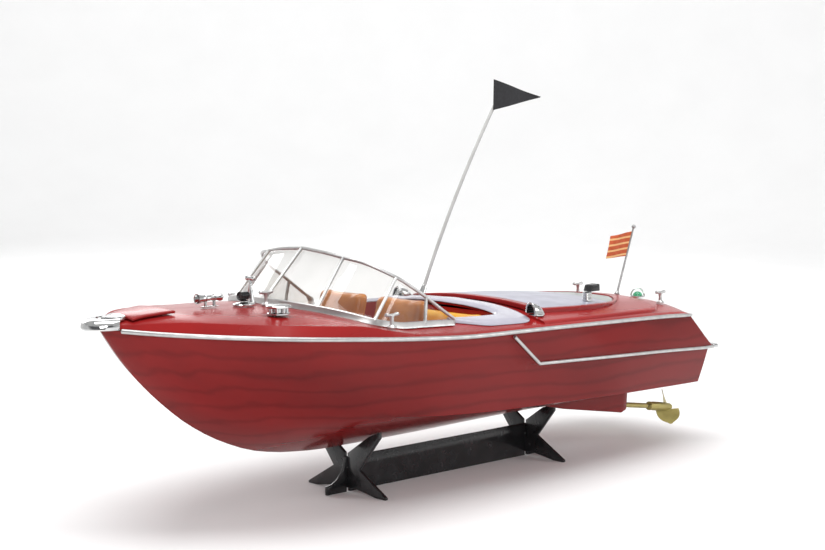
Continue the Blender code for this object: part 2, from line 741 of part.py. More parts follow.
# ---------------------------------------------------------------- windscreen
SCREEN_BASE = ((0.16, 0.0), (0.157, 0.028), (0.149, 0.05), (0.138, 0.071), (0.1235, 0.0865),
               (0.1, 0.0875), (0.0685, 0.0852), (0.053, 0.0845), (0.036, 0.084))
SCREEN_TOP = ((0.121, 0.0, 0.2025), (0.1205, 0.026, 0.2005), (0.1175, 0.045, 0.1975),
              (0.11, 0.063, 0.1935), (0.093, 0.0785, 0.183), (0.079, 0.0815, 0.1745),
              (0.065, 0.083, 0.1657), (0.05, 0.084, 0.1553), (0.036, 0.0845, 0.1465))
SCREEN_POSTS = (0, 2, 4, 6)   # which of those points carry a post


def catmull(points, steps):
    """A smooth path through points, with a number of steps between each pair."""
    spots = [Vector(p) for p in points]
    spots = [2 * spots[0] - spots[1]] + spots + [2 * spots[-1] - spots[-2]]
    path = []
    for k in range(1, len(spots) - 2):
        a, b, c, d = spots[k - 1:k + 3]
        for s in range(steps):
            t = s / steps
            path.append(0.5 * (2 * b + (c - a) * t + (2 * a - 5 * b + 4 * c - d) * t * t
                               + (3 * b - a - 3 * c + d) * t ** 3))
    path.append(spots[-2])
    return path


def screen_lines(steps=2):
    """The windscreen's base and top lines, port fore to aft, as matching point lists."""
    base = [Vector((p.x, p.y, deck_z(p.x, p.y))) for p in
            catmull([(x, y, 0.0) for x, y in SCREEN_BASE], steps)]
    return base, catmull(SCREEN_TOP, steps)


def both_sides(half):
    """A path over both sides from its port half, which starts on the centreline."""
    return [Vector((p.x, -p.y, p.z)) for p in reversed(half[1:])] + list(half)


def make_windscreen():
    """The bright frame with its posts, and the clear screen just inside it."""
    base, top = screen_lines()
    base, top = both_sides(base), both_sides(top)
    count = len(base)
    up, down = [], []
    for k, p in enumerate(base):
        before, after = base[max(k - 1, 0)], base[min(k + 1, count - 1)]
        run = Vector(((after - before).x, (after - before).y, 0.0)).normalized()
        out = Vector((run.y, -run.x, 0.0))
        if out.dot(Vector((p.x - 0.08, p.y, 0.0))) < 0:
            out = -out
        low = p + Vector((0, 0, 0.0005))
        high = p + Vector((0, 0, 0.0052)) + (top[k] - p).normalized() * 0.0001
        up.append([low + out * 0.0011, high + out * 0.0011])
        down.append([low - out * 0.0011, high - out * 0.0011])
    strip = slab("windscreen_frame", up, down, "chrome")
    pieces = [strip, sweep("screen_top", top, 0.0014, None, sides=6, home=CUTTERS)]
    middle = count // 2
    posts = {middle + 2 * side * post for post in SCREEN_POSTS for side in (1, -1)}
    for k in sorted(posts):
        foot = base[k] + Vector((0, 0, 0.003))
        pieces.append(rod("screen_post", foot, top[k], 0.00115, None, sides=8, home=CUTTERS))
    for k in (0, count - 1):
        foot = base[k] + Vector((0, 0, 0.002))
        pieces.append(rod("screen_end", foot, top[k] + Vector((0, 0, 0.0005)), 0.0013, None,
                          sides=8, home=CUTTERS))
    joined("windscreen_frame", pieces, "chrome")

    outer, inner = [], []
    skin, depth = 0.0021, 0.001
    for k in range(1, count - 1):
        lean = top[k] - base[k]
        run = top[k + 1] - top[k - 1]
        normal = lean.cross(run).normalized()
        if normal.dot(Vector((base[k].x - 0.04, base[k].y, 0.05))) < 0:
            normal = -normal
        row_out, row_in = [], []
        for share in (0.0, 0.5, 1.0):
            low = base[k] + Vector((0, 0, 0.0007))
            spot = low + (top[k] - low) * share
            row_out.append(spot - normal * skin)
            row_in.append(spot - normal * (skin + depth))
        outer.append(row_out)
        inner.append(row_in)
    for rows in (outer, inner):
        for row in rows:
            row[0].z = max(row[0].z, deck_z(row[0].x, row[0].y) + GAP)
    slab("windscreen_glass", outer, inner, "clear")


# ---------------------------------------------------------------- cockpit
def make_coaming():
    """The pale padded coaming round the aft end of the cockpit, a U in plan."""
    inner, outer = [], []
    fore, aft, half = 0.033, COCKPIT[0], COCKPIT[2]
    for k in range(5):
        x = fore - 0.035 * k / 5
        inner.append((x, half + 0.0015))
        outer.append((x, half + 0.004 + 0.0175 * smoothstep(fore + 0.01, -0.002, x)))
    for k in range(10):
        a = math.pi / 2 * k / 9
        sine, cosine = math.sin(a) ** 0.32, math.cos(a) ** 0.32
        inner.append((-0.002 + (aft + 0.0035) * sine, (half + 0.0015) * cosine))
        outer.append((-0.002 - 0.0575 * sine, (half + 0.0215) * cosine))
    inner += [(x, -y) for x, y in reversed(inner[:-1])]
    outer += [(x, -y) for x, y in reversed(outer[:-1])]
    top, bottom = [], []
    for (x1, y1), (x2, y2) in zip(inner, outer):
        upper, lower = [], []
        for t, rise in ((0.0, 0.0028), (0.3, 0.0038), (0.75, 0.0034), (1.0, 0.002)):
            x, y = x1 + (x2 - x1) * t, y1 + (y2 - y1) * t
            upper.append((x, y, deck_z(x, y) + rise))
            lower.append((x, y, deck_z(x, y) + 0.001))
        top.append(upper)
        bottom.append(lower)
    slab("cockpit_coaming", top, bottom, "white")


def make_seat(name, side):
    """A front seat: cushion and reclined back in one padded moulding."""
    y0, y1 = 0.006, 0.064
    profile = [(0.041, 0.1015), (0.087, 0.1015), (0.091, 0.106), (0.091, 0.117), (0.087, 0.121),
               (0.066, 0.121), (0.06, 0.124), (0.0535, 0.156), (0.049, 0.1605), (0.042, 0.16),
               (0.0385, 0.155)]
    bm = bmesh.new()
    ends = []
    for y, shrink in ((y0, 0.0015), (y0 + 0.003, 0.0), (y1 - 0.003, 0.0), (y1, 0.0015)):
        ends.append([bm.verts.new((x + (0.064 - x) * shrink * 10, side * y,
                                   z + (0.128 - z) * shrink * 10)) for x, z in profile])
    for one, two in zip(ends, ends[1:]):
        for k in range(len(profile)):
            n = (k + 1) % len(profile)
            bm.faces.new((one[k], one[n], two[n], two[k]))
    caps = [bm.faces.new(ends[0]), bm.faces.new(ends[-1])]
    bmesh.ops.triangulate(bm, faces=caps)
    return finish_mesh(name, bm, "tan")


def make_cockpit():
    """Everything that stands in the tub."""
    make_tub()
    make_coaming()
    make_seat("port_seat", 1)
    make_seat("starboard_seat", -1)
    cushion = box("rear_bench", (-0.0305, -0.057, 0.1003), (0.006, 0.057, 0.1215), None, 0.003)
    back = box("bench_back", (-0.0305, -0.057, 0.111), (-0.0185, 0.057, 0.1405), None, 0.003,
               home=CUTTERS)
    joined("rear_bench", [cushion, back], "yellow")
    face = [(0.0985, 0.131), (0.1095, 0.1285), (0.1095, 0.147), (0.1045, 0.1485), (0.0985, 0.1445)]
    stand_up = Matrix.Rotation(math.pi / 2, 4, "X")
    plate("dashboard", face, 0.112, "deck_red", stand_up)
    hub = Vector((0.0945, 0.035, 0.137))
    axis = Vector((-0.9, 0.0, 0.436)).normalized()
    turn = axis.to_track_quat("Z", "Y").to_matrix().to_4x4()
    pieces = [rod("steering_wheel", hub - axis * 0.0035, hub + axis * 0.007, 0.002, None)]
    bm = bmesh.new()
    rim_radius, rim_tube = 0.0105, 0.0011
    rim = []
    for k in range(24):
        a = 2 * math.pi * k / 24
        ring = []
        for s in range(6):
            b = 2 * math.pi * s / 6
            radius = rim_radius + rim_tube * math.cos(b)
            ring.append(bm.verts.new((radius * math.cos(a), radius * math.sin(a),
                                      0.0055 + rim_tube * math.sin(b))))
        rim.append(ring)
    for k in range(24):
        for s in range(6):
            n, m = (k + 1) % 24, (s + 1) % 6
            bm.faces.new((rim[k][s], rim[n][s], rim[n][m], rim[k][m]))
    bmesh.ops.transform(bm, matrix=Matrix.Translation(hub) @ turn, verts=bm.verts)
    pieces.append(finish_mesh("wheel_rim", bm, None, home=CUTTERS))
    across = turn.to_3x3()
    for k in range(3):
        a = math.radians(90 + 120 * k)
        spot = hub + axis * 0.0055 + across @ Vector((math.cos(a), math.sin(a), 0)) * rim_radius
        pieces.append(rod("wheel_spoke", hub + axis * 0.0055, spot, 0.0007, None, sides=6,
                          home=CUTTERS))
    joined("steering_wheel", pieces, "white")


# ---------------------------------------------------------------- deck fittings
def on_deck(x, y, reach):
    """Where a level foot of that radius stands, just clear of the crowned deck."""
    around = [deck_z(x + reach * math.cos(k * math.pi / 4), y + reach * math.sin(k * math.pi / 4))
              for k in range(8)]
    return Vector((x, y, max(around + [deck_z(x, y)]) + 2 * GAP))


def make_cleat(name, x, y):
    """A T-shaped mooring cleat on a round foot."""
    foot = on_deck(x, y, 0.0036)
    up = Vector((0, 0, 1))
    pieces = [rod(name, foot, foot + up * 0.0018, 0.0036, None, sides=12),
              rod("cleat_stem", foot, foot + up * 0.0095, 0.0014, None, sides=8, home=CUTTERS),
              box("cleat_bar", foot + Vector((-0.0055, -0.0018, 0.0088)),
                  foot + Vector((0.0055, 0.0018, 0.0106)), None, home=CUTTERS)]
    return joined(name, pieces, "chrome")


def make_scoop(name, side):
    """An engine-room air scoop: a cowl that faces forward."""
    x, y = -0.0655, side * 0.0797
    foot = Vector((x, y, deck_z(x, y)))
    half, length, height = 0.0052, 0.013, 0.0088
    rows = 7
    top, low = [], []
    for i in range(rows):
        t = i / (rows - 1)
        along = x + length / 2 - length * t
        swell = math.sqrt(max(1 - (t * 0.93) ** 2, 0.0))
        upper, under = [], []
        for j in range(9):
            a = math.pi * j / 8
            yy = y + half * (0.6 + 0.4 * swell) * math.cos(a)
            base = deck_z(along, yy) + 0.001
            upper.append((along, yy, base + 0.0012 + height * swell * math.sin(a)))
            under.append((along, yy, base))
        top.append(upper)
        low.append(under)
    cowl = slab(name, top, low, "chrome")
    mouth = box("scoop_mouth", (x + length / 2 - 0.006, y - half + 0.0014, foot.z + 0.0026),
                (x + length / 2 + 0.002, y + half - 0.0014, foot.z + 0.0066), None, home=CUTTERS)
    boolean(cowl, mouth, "DIFFERENCE")
    return cowl


def make_horn():
    """A trumpet horn lying on a low saddle, mouth forward."""
    foot = on_deck(0.219, 0.0065, 0.0075)
    centre = foot + Vector((0, 0, 0.0068))
    pieces = [rod("horn", centre + Vector((-0.011, 0, 0)), centre + Vector((0.004, 0, 0)),
                  0.0022, None, sides=10),
              rod("horn_bell", centre + Vector((0.002, 0, 0)), centre + Vector((0.0105, 0, 0)),
                  0.0022, None, tip=0.0038, sides=10, home=CUTTERS),
              box("horn_saddle", foot + Vector((-0.0075, -0.0025, 0)),
                  foot + Vector((0.0045, 0.0025, 0.006)), None, home=CUTTERS),
              ball("horn_end", centre + Vector((-0.011, 0, 0)), (0.003,) * 3, None, rings=6,
                   sides=10, home=CUTTERS)]
    return joined("horn", pieces, "chrome")


def make_searchlight():
    """An oval base with a lamp that swivels on it."""
    foot = on_deck(0.187, 0.009, 0.006)
    ball("searchlight_base", foot + Vector((0, 0, 0.0015)), (0.0095, 0.0068, 0.0014), "chrome",
         rings=6)
    seat = foot + Vector((0, 0, 0.0034))
    pieces = [rod("searchlight_lamp", seat, seat + Vector((0, 0, 0.0025)), 0.0026, None, sides=12),
              rod("lamp_head", seat + Vector((-0.0042, 0, 0.004)),
                  seat + Vector((0.0042, 0, 0.004)), 0.0034, None, tip=0.004, sides=12,
                  home=CUTTERS)]
    joined("searchlight_lamp", pieces, "black")


def make_bow_light():
    """A small lamp bar on an A-shaped pedestal."""
    foot = on_deck(0.17, -0.004, 0.0044)
    head = foot + Vector((0, 0, 0.0185))
    pieces = [rod("bow_light", foot + Vector((0, 0, 0.0)), foot + Vector((0, 0, 0.0016)),
                  0.0044, None, sides=12)]
    for lean in (-1, 1):
        pieces.append(rod("light_leg", foot + Vector((0, lean * 0.0034, 0.0008)), head, 0.001,
                          None, sides=8, home=CUTTERS))
    pieces.append(rod("light_stem", foot, head, 0.0009, None, sides=8, home=CUTTERS))
    pieces.append(rod("light_bar", head + Vector((0, -0.0045, 0.001)),
                      head + Vector((0, 0.0045, 0.001)), 0.0019, None, sides=12, home=CUTTERS))
    return joined("bow_light", pieces, "chrome")


def make_filler():
    """A round vented filler on the port foredeck."""
    foot = on_deck(0.1915, 0.0555, 0.0086)
    profile = [(0.0085, 0.0072), (0.0095, 0.0066), (0.0095, 0.0052), (0.0072, 0.0046),
               (0.0066, 0.002), (0.0086, 0.0012), (0.0086, 0.0)]
    turned("deck_filler", foot, profile, "chrome", sides=16)


def make_stern_fittings():
    """The stern light under its bright guard."""
    spot = on_deck(-0.272, 0.02, 0.0066)
    dome = [(0.0026, 0.0054), (0.0042, 0.0038), (0.0046, 0.0014), (0.0066, 0.0014), (0.0066, 0.0)]
    pieces = [turned("stern_light", spot, dome, None, sides=16)]
    arch = []
    for k in range(8):
        a = math.pi * k / 7
        arch.append(spot + Vector((0.0044 * math.cos(a), -0.0044 * math.cos(a),
                                   0.0008 + 0.0076 * math.sin(a))))
    pieces.append(sweep("light_guard", arch, 0.0007, None, sides=6, home=CUTTERS))
    joined("stern_light", pieces, "green")


def hatch_half(x):
    """Half breadth of the raised engine hatch: broad in front, drawn to a tip aft."""
    aft, fore = HATCH
    share = min(max((x - aft) / (fore - aft), 0.0), 1.0)
    return 0.0755 * (1 - (1 - share) ** 3.0) ** 0.55


def hatch_top(x, y):
    """Height of the hatch's top over the deck line."""
    lift = 0.0044 - 0.0018 * smoothstep(-0.15, -0.21, x)
    return deck_z(x, y) + lift


def make_hatch():
    """The engine hatch with its two sun pads and the lamp that stands on them."""
    count = 14
    xs = [HATCH[1] + (HATCH[0] + 0.0015 - HATCH[1]) * math.sin(math.pi / 2 * k / count)
          for k in range(count + 1)]
    shares = (-1.0, -0.96, -0.7, -0.35, 0.0, 0.35, 0.7, 0.96, 1.0)
    top, low = [], []
    for x in xs:
        half = hatch_half(x)
        upper, under = [], []
        for t in shares:
            y = t * half
            drop = 0.0009 if abs(t) == 1.0 else 0.0
            upper.append((x, y, hatch_top(x, y) - drop))
            under.append((x, y, deck_z(x, y) + 0.001))
        top.append(upper)
        low.append(under)
    slab("engine_hatch", top, low, "deck_red")
    for name, fore, aft, rise in (("sun_pad_front", -0.0755, -0.1885, PAD_RISE),
                                  ("sun_pad_aft", -0.19, -0.229, AFT_PAD_RISE)):
        top, low = [], []
        rows = 8 if name == "sun_pad_front" else 6
        for k in range(rows):
            x = fore + (aft - fore) * k / (rows - 1)
            half = max(hatch_half(x) - 0.0035, 0.0015)
            upper, under = [], []
            for t in (-1.0, -0.95, -0.6, -0.3, 0.0, 0.3, 0.6, 0.95, 1.0):
                y = t * half
                crown = rise if abs(t) < 1.0 else 0.4 * rise
                if k in (0, rows - 1):
                    crown = min(crown, 0.5 * rise)
                upper.append((x, y, hatch_top(x, y) + 0.0004 + crown))
                under.append((x, y, hatch_top(x, y) + 0.0004))
            top.append(upper)
            low.append(under)
        slab(name, top, low, "white")
    x, y = LAMP
    foot = Vector((x, y, hatch_top(x - 0.003, y - 0.003) + PAD_RISE + 2 * GAP))
    rod("stern_lamp_base", foot, foot + Vector((0, 0, 0.0066)), 0.0038, "chrome")
    head = foot + Vector((-0.003, 0, 0.0066 + GAP))
    side_view = Matrix.Translation(head) @ Matrix.Rotation(math.pi / 2, 4, "X")
    plate("stern_lamp_head", [(-0.0062, 0.0), (0.0062, 0.0), (0.004, 0.0058), (-0.0052, 0.0062)],
          0.009, "black", side_view)


# ---------------------------------------------------------------- antenna and flags
def antenna_point(distance):
    axis = (ANTENNA_BEND - ANTENNA_FOOT).normalized()
    return ANTENNA_FOOT + axis * distance


def pole_point(distance):
    axis = (POLE_TIP - POLE_FOOT).normalized()
    return POLE_FOOT + axis * distance


def flag(name, hoist_low, hoist_high, fly, tip_share, colour):
    """A gently waving flag: a hoist edge, a direction to fly in, and a share kept at the fly."""
    rows = 9
    front, back = [], []
    hoist_low, hoist_high, fly = Vector(hoist_low), Vector(hoist_high), Vector(fly)
    middle = (hoist_low + hoist_high) / 2
    normal = fly.cross(hoist_high - hoist_low).normalized()
    for k in range(rows):
        t = k / (rows - 1)
        keep = 1 - (1 - tip_share) * t
        wave = normal * 0.0016 * math.sin(2 * math.pi * t) * t
        low = middle + (hoist_low - middle) * keep + fly * t + wave
        high = middle + (hoist_high - middle) * keep + fly * t + wave
        front.append([low + normal * 0.0003, high + normal * 0.0003])
        back.append([low - normal * 0.0003, high - normal * 0.0003])
    return slab(name, front, back, colour)


def make_antenna():
    """The antenna tube with its pennant, in a socket in the deck."""
    where = antenna_point(-0.007)
    seat = on_deck(where.x, where.y, 0.0046)
    flange = [(0.0036, 0.0021), (0.0046, 0.0014), (0.0046, 0.0)]
    slope = antenna_point(1.0).z - antenna_point(0.0).z
    start = (seat.z + 0.0011 - ANTENNA_FOOT.z) / slope
    sleeve = rod("socket_sleeve", antenna_point(start), antenna_point(0.0055), 0.003, None,
                 home=CUTTERS)
    socket = joined("antenna_socket", [turned("antenna_socket", seat, flange, None), sleeve],
                    "chrome")
    hole = rod("socket_hole", antenna_point(-0.0015), antenna_point(0.03),
               ANTENNA_RADIUS + GAP, None, home=CUTTERS)
    boolean(socket, hole, "DIFFERENCE")
    path = [antenna_point(-0.0012)]
    for k in range(11):
        path.append(bend(ANTENNA_FOOT, ANTENNA_BEND, ANTENNA_TIP, k / 10))
    path.append(ANTENNA_TIP + (ANTENNA_TIP - ANTENNA_BEND).normalized() * 0.011)
    sweep("antenna_tube", path, ANTENNA_RADIUS, "white")
    low = ANTENNA_TIP + Vector((0.0012, 0.0024, 0))
    high = low + Vector((-0.0006, 0.0, 0.0286))
    flag("antenna_pennant", low, high, Vector((-0.06, 0.0036, -0.0025)), 0.03, "black")


def make_flagpole():
    """The stern flagpole with a ball on top and a plain striped ensign."""
    length = (POLE_TIP - POLE_FOOT).length
    pieces = [rod("flagpole", pole_point(-0.008), pole_point(length), 0.0009, None, sides=10),
              ball("pole_ball", pole_point(length), (0.002,) * 3, None, rings=6, sides=10,
                   home=CUTTERS),
              rod("pole_foot", pole_point(0.0026), pole_point(0.0055), 0.0026, None, tip=0.0016,
                  sides=12, home=CUTTERS)]
    joined("flagpole", pieces, "chrome")
    low = pole_point(length - 0.029) + Vector((0.0018, 0, 0))
    high = pole_point(length - 0.0045) + Vector((0.0018, 0, 0))
    flag("ensign", low, high, Vector((0.0262, -0.002, -0.002)), 0.9, "flag_red")


# ---------------------------------------------------------------- drive and electrics
def make_drive(prefix, side):
    """Motor, coupling, shaft, stern tube and propeller on one sloping axis."""
    axis = (shaft_point(1.0, side) - shaft_point(0.0, side)).normalized()

    def along(x):
        return shaft_point(x, side)

    can = [rod(prefix + "_motor", along(-0.028), along(0.01), 0.0138, None, sides=24),
           rod("motor_nose", along(-0.031), along(-0.027), 0.005, None, home=CUTTERS),
           rod("motor_pin", along(-0.037), along(-0.03), 0.00115, None, sides=10, home=CUTTERS)]
    joined(prefix + "_motor", can, "steel")
    sleeve = rod(prefix + "_coupling", along(-0.052), along(-0.033), 0.004, "black", sides=16)
    holes = rod("coupling_hole", along(-0.06), along(-0.02), 0.0015 + GAP, None, sides=10,
                home=CUTTERS)
    boolean(sleeve, holes, "DIFFERENCE")
    rod(prefix + "_drive_shaft", along(-0.298), along(-0.041), SHAFT_RADIUS, "steel", sides=10)
    tube = rod(prefix + "_stern_tube", along(-0.262), along(-0.078), TUBE_RADIUS, "brass",
               sides=16)
    hollow = rod("tube_hole", along(-0.30), along(-0.05), SHAFT_RADIUS + GAP, None, sides=10,
                 home=CUTTERS)
    boolean(tube, hollow, "DIFFERENCE")
    make_propeller(prefix, side, axis, along)


def make_propeller(prefix, side, axis, along):
    """A two-bladed screw with broad blades and a tapered hub."""
    fore, aft = along(-0.2655), along(-0.299)
    hub = [rod(prefix + "_propeller", fore, aft, 0.0042, None, tip=0.003, sides=16)]
    centre = fore.lerp(aft, 0.8)
    for way in (1, -1):
        bm = bmesh.new()
        bmesh.ops.create_uvsphere(bm, u_segments=14, v_segments=6, radius=1.0)
        bmesh.ops.scale(bm, vec=Vector((0.0078, 0.0095, 0.0008)), verts=bm.verts)
        reach = Vector((0, side * way * 0.85, -way * 0.5)).normalized()
        around = side * axis.cross(reach).normalized()
        pitch = math.radians(40)
        face = (axis * math.cos(pitch) + around * math.sin(pitch)).normalized()
        chord = face.cross(reach).normalized()
        frame = Matrix((reach, chord, face)).transposed().to_4x4()
        spot = centre + reach * 0.0092
        bmesh.ops.transform(bm, matrix=Matrix.Translation(spot) @ frame, verts=bm.verts)
        hub.append(finish_mesh("blade", bm, None, home=CUTTERS))
    screw = joined(prefix + "_propeller", hub, "brass")
    bore = rod("hub_bore", along(-0.33), along(-0.25), SHAFT_RADIUS + GAP, None, sides=10,
               home=CUTTERS)
    boolean(screw, bore, "DIFFERENCE")


def make_electrics():
    """Motor mount, battery, receiver board and switch, all inside the hull."""
    bulkhead = motor_bulkhead()
    for side in (1, -1):
        clear = rod("can_clear", shaft_point(-0.06, side), shaft_point(0.03, side), 0.0142, None,
                    sides=24, home=CUTTERS)
        boolean(bulkhead, clear, "DIFFERENCE")
    box("battery_pack", (-0.186, -0.028, 0.0535), (-0.088, 0.028, 0.0775), "battery", 0.002)
    box("receiver_board", (0.03, -0.024, 0.0645), (0.078, 0.024, 0.0665), "board")
    chip = [bpy.data.objects["receiver_board"],
            box("chip", (0.038, -0.014, 0.0660), (0.055, 0.002, 0.0705), None, home=CUTTERS),
            box("plug", (0.060, -0.018, 0.0660), (0.074, 0.016, 0.0735), None, home=CUTTERS)]
    joined("receiver_board", chip, "board")
    body = box("power_switch_body", (-0.2135, -0.018, 0.0560), (-0.2015, 0.018, 0.0685), "black",
               0.0006)
    boolean(body, box("slot", (-0.2098, -0.0085, 0.0655), (-0.2052, 0.0085, 0.072), None,
                      home=CUTTERS), "DIFFERENCE")
    box("power_switch_slider", (-0.2094, -0.0080, 0.0659), (-0.2056, -0.0020, 0.0715), "white",
        0.0004)


def motor_bulkhead():
    """A frame across the hull that both motors are pushed into."""
    x0, x1 = -0.0215, -0.0155
    outline = []
    for k in range(9):
        y = 0.07 * k / 8
        outline.append((y, bottom_z(x0, y) + HULL_WALL + 0.0012))
    outline += [(0.07, 0.0885), (0.0, 0.0885)]
    outline = outline[:-1] + [(-y, z) for y, z in reversed(outline[:-1])][:-1]
    outline = [(y, z) for y, z in outline]
    to_world = Matrix(((0, 0, 1, (x0 + x1) / 2), (1, 0, 0, 0), (0, 1, 0, 0), (0, 0, 0, 1)))
    return plate("motor_mount", outline, x1 - x0, "black", to_world)


# ---------------------------------------------------------------- stand
def make_stand():
    """Two crossed end frames locked to one long spine by half-lap slots."""
    spine_half = STAND_PLATE / 2
    for name, x, reach in (("stand_front_frame", STAND_X[0], 0.04),
                           ("stand_rear_frame", STAND_X[1], 0.0352)):
        outline = [(0.0, 0.0035), (0.0135, 0.0035), (0.036, 0.0), (0.047, 0.0), (0.047, 0.002),
                   (0.0155, WAIST_Z), (reach, bottom_z(x, reach) - 0.0055),
                   (reach, bottom_z(x, reach) - 2 * GAP),
                   (reach - 0.013, bottom_z(x, reach - 0.013) - 2 * GAP), (0.0, 0.031)]
        whole = outline[1:-1]
        loop = [outline[0]] + whole + [outline[-1]] + [(-y, z) for y, z in reversed(whole)]
        to_world = Matrix(((0, 0, 1, x), (1, 0, 0, 0), (0, 1, 0, 0), (0, 0, 0, 1)))
        frame = plate(name, loop, STAND_PLATE, "black", to_world)
        slot = box("frame_slot", (x - 0.01, -spine_half - GAP, WAIST_Z),
                   (x + 0.01, spine_half + GAP, 0.06), None, home=CUTTERS)
        boolean(frame, slot, "DIFFERENCE")
    nose, tail = STAND_X[0] + 0.023, STAND_X[1] - 0.02
    outline = [(tail, 0.0), (nose, 0.0), (nose, 0.007)]
    for k in range(1, 6):
        a = math.pi / 2 * k / 5
        outline.append((STAND_X[0] + 0.003 + 0.02 * (1 - math.sin(a)),
                        0.007 + 0.022 * (1 - math.cos(a))))
    outline += [(STAND_X[1] - 0.003, 0.029), (tail, 0.007)]
    stand_up = Matrix.Rotation(math.pi / 2, 4, "X")
    spine = plate("stand_spine", outline, STAND_PLATE, "black", stand_up)
    for x in STAND_X:
        notch = box("spine_notch", (x - spine_half - GAP, -0.01, -0.01),
                    (x + spine_half + GAP, 0.01, WAIST_Z + GAP), None, home=CUTTERS)
        boolean(spine, notch, "DIFFERENCE")


def main():
    make_hull()
    make_deck()
    make_rub_rail("port_rub_rail", 1)
    make_rub_rail("starboard_rub_rail", -1)
    make_side_moulding("port_side_moulding", 1)
    make_side_moulding("starboard_side_moulding", -1)
    make_stern_platform()
    make_bow_fittings()
    make_windscreen()
    make_cockpit()
    for side, prefix in ((1, "port"), (-1, "starboard")):
        make_cleat(prefix + "_bow_cleat", 0.1135, side * 0.0955)
        make_cleat(prefix + "_stern_cleat", -0.268, side * 0.05)
    make_cleat("centre_cleat", 0.168, 0.0125)
    make_scoop("port_air_scoop", 1)
    make_scoop("starboard_air_scoop", -1)
    make_horn()
    make_searchlight()
    make_bow_light()
    make_filler()
    make_stern_fittings()
    make_hatch()
    make_antenna()
    make_flagpole()
    make_drive("port", 1)
    make_drive("starboard", -1)
    make_electrics()
    make_stand()


main()
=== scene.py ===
"""The looks of the radio controlled runabout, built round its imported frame.

Metres. +X is the bow, +Y is port and +Z is up. The hull and deck follow the same lines as
the frame, with closer sections. Small fittings are turned, swept or lofted.
"""
import bmesh
import bpy
import math
import numpy as np
from mathutils import Matrix, Vector


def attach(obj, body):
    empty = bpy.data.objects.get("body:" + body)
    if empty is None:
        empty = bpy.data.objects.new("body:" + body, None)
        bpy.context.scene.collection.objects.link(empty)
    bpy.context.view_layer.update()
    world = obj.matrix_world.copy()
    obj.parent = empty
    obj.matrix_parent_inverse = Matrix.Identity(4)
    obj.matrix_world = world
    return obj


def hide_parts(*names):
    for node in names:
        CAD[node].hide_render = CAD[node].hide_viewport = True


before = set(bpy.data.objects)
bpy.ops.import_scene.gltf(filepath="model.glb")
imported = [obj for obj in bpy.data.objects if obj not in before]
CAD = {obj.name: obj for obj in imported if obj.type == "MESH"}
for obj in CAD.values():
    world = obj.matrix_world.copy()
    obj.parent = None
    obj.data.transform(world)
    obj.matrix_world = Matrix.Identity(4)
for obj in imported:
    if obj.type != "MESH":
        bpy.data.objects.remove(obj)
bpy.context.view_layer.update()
SIDES = (("port", 1), ("starboard", -1))
UP = Vector((0, 0, 1))
WELD = 0.00002            # points closer than this become one

# ---------------------------------------------------------------- driving dimensions
BOW_X = 0.312             # top of the stem
HALF_BEAM = 0.1055        # hull at the rub rail, without the rail
FULL_BEAM_X = 0.10        # where the hull is widest
GAP = 0.0003              # clearance between neighbouring parts
DECK_SEAM = 0.0015        # height of the deck's lower edge over the hull's rim
HULL_WALL = 0.002
DECK_WALL = 0.0015

KEEL = ((-0.303, 0.0445), (-0.153, 0.042), (0.04, 0.039), (0.096, 0.039), (0.137, 0.0415),
        (0.17, 0.047), (0.201, 0.058), (0.231, 0.074), (0.26, 0.096), (0.288, 0.1235),
        (BOW_X, 0.1555))
SHEER = ((-0.303, 0.1195), (-0.228, 0.1245), (-0.123, 0.129), (-0.033, 0.1322), (0.034, 0.134),
         (0.095, 0.138), (0.167, 0.144), (0.227, 0.1485), (0.287, 0.153), (BOW_X, 0.1555))
CHINE_BREADTH = ((-0.303, 0.93), (-0.175, 0.95), (-0.09, 0.885), (-0.019, 0.835), (0.057, 0.81),
                 (0.111, 0.71), (0.162, 0.56), (0.22, 0.48), (BOW_X, 0.45))
CHINE_HEIGHT = ((-0.303, 0.155), (-0.175, 0.23), (-0.09, 0.265), (-0.019, 0.29), (0.057, 0.335),
                (0.111, 0.36), (0.162, 0.34), (BOW_X, 0.32))
DECK_LIP = ((-0.303, 0.003), (0.09, 0.003), (0.115, 0.0055), (0.15, 0.0095), (0.262, 0.0095),
            (0.285, 0.0075), (0.3, 0.0045), (BOW_X, 0.0035))
DECK_CROWN = ((-0.303, 0.0055), (-0.22, 0.009), (-0.1, 0.0115), (-0.03, 0.0115), (0.04, 0.011),
              (0.1, 0.009), (0.15, 0.0082), (0.25, 0.0075), (BOW_X, 0.001))
TOE_LIP = ((0.16, 0.0), (0.21, 0.0015), (0.265, 0.003), (0.3, 0.0006), (BOW_X, 0.0))
BILGE_FAIR = (0.09, 0.2)  # the hard chine fades into a round bilge between these

# The stern and the front of the side panel are raked: x at the chine, moulding and rail.
TRANSOM = (-0.303, -0.316, -0.278)
PANEL_BACK = (-0.06, -0.06, -0.045)
PANEL_EDGE = (-0.047, -0.047, -0.009)
PANEL_START = (-0.034, -0.034, -0.003)
PANEL_STEP = 0.004        # how far the side panel stands out at the lower moulding
STEP_FRACTION = 0.02      # the step under the moulding, as a share of the side's height
MOULDING = ((-0.303, 0.52), (-0.047, 0.575))

RAIL_RADIUS = 0.0017
MOULDING_RADIUS = 0.0014
STERN_BULGE = 0.011       # how far the deck's aft edge bows out at the centreline

SHAFT_Y = 0.04            # the twin shafts' distance from the centreline
SHAFT_X0 = -0.23          # the shaft axis passes here, at the skeg's heel
SHAFT_Z0 = 0.0395
SHAFT_SLOPE = 0.15
TUBE_RADIUS = 0.0024
SKEG_HALF = 0.004

COCKPIT = (-0.034, 0.112, 0.071)     # opening in the deck: aft end, fore end, half width
HATCH = (-0.236, -0.072)             # the engine hatch's aft tip and front edge
LAMP = (-0.158, 0.056)    # the lamp that stands on the sun pad

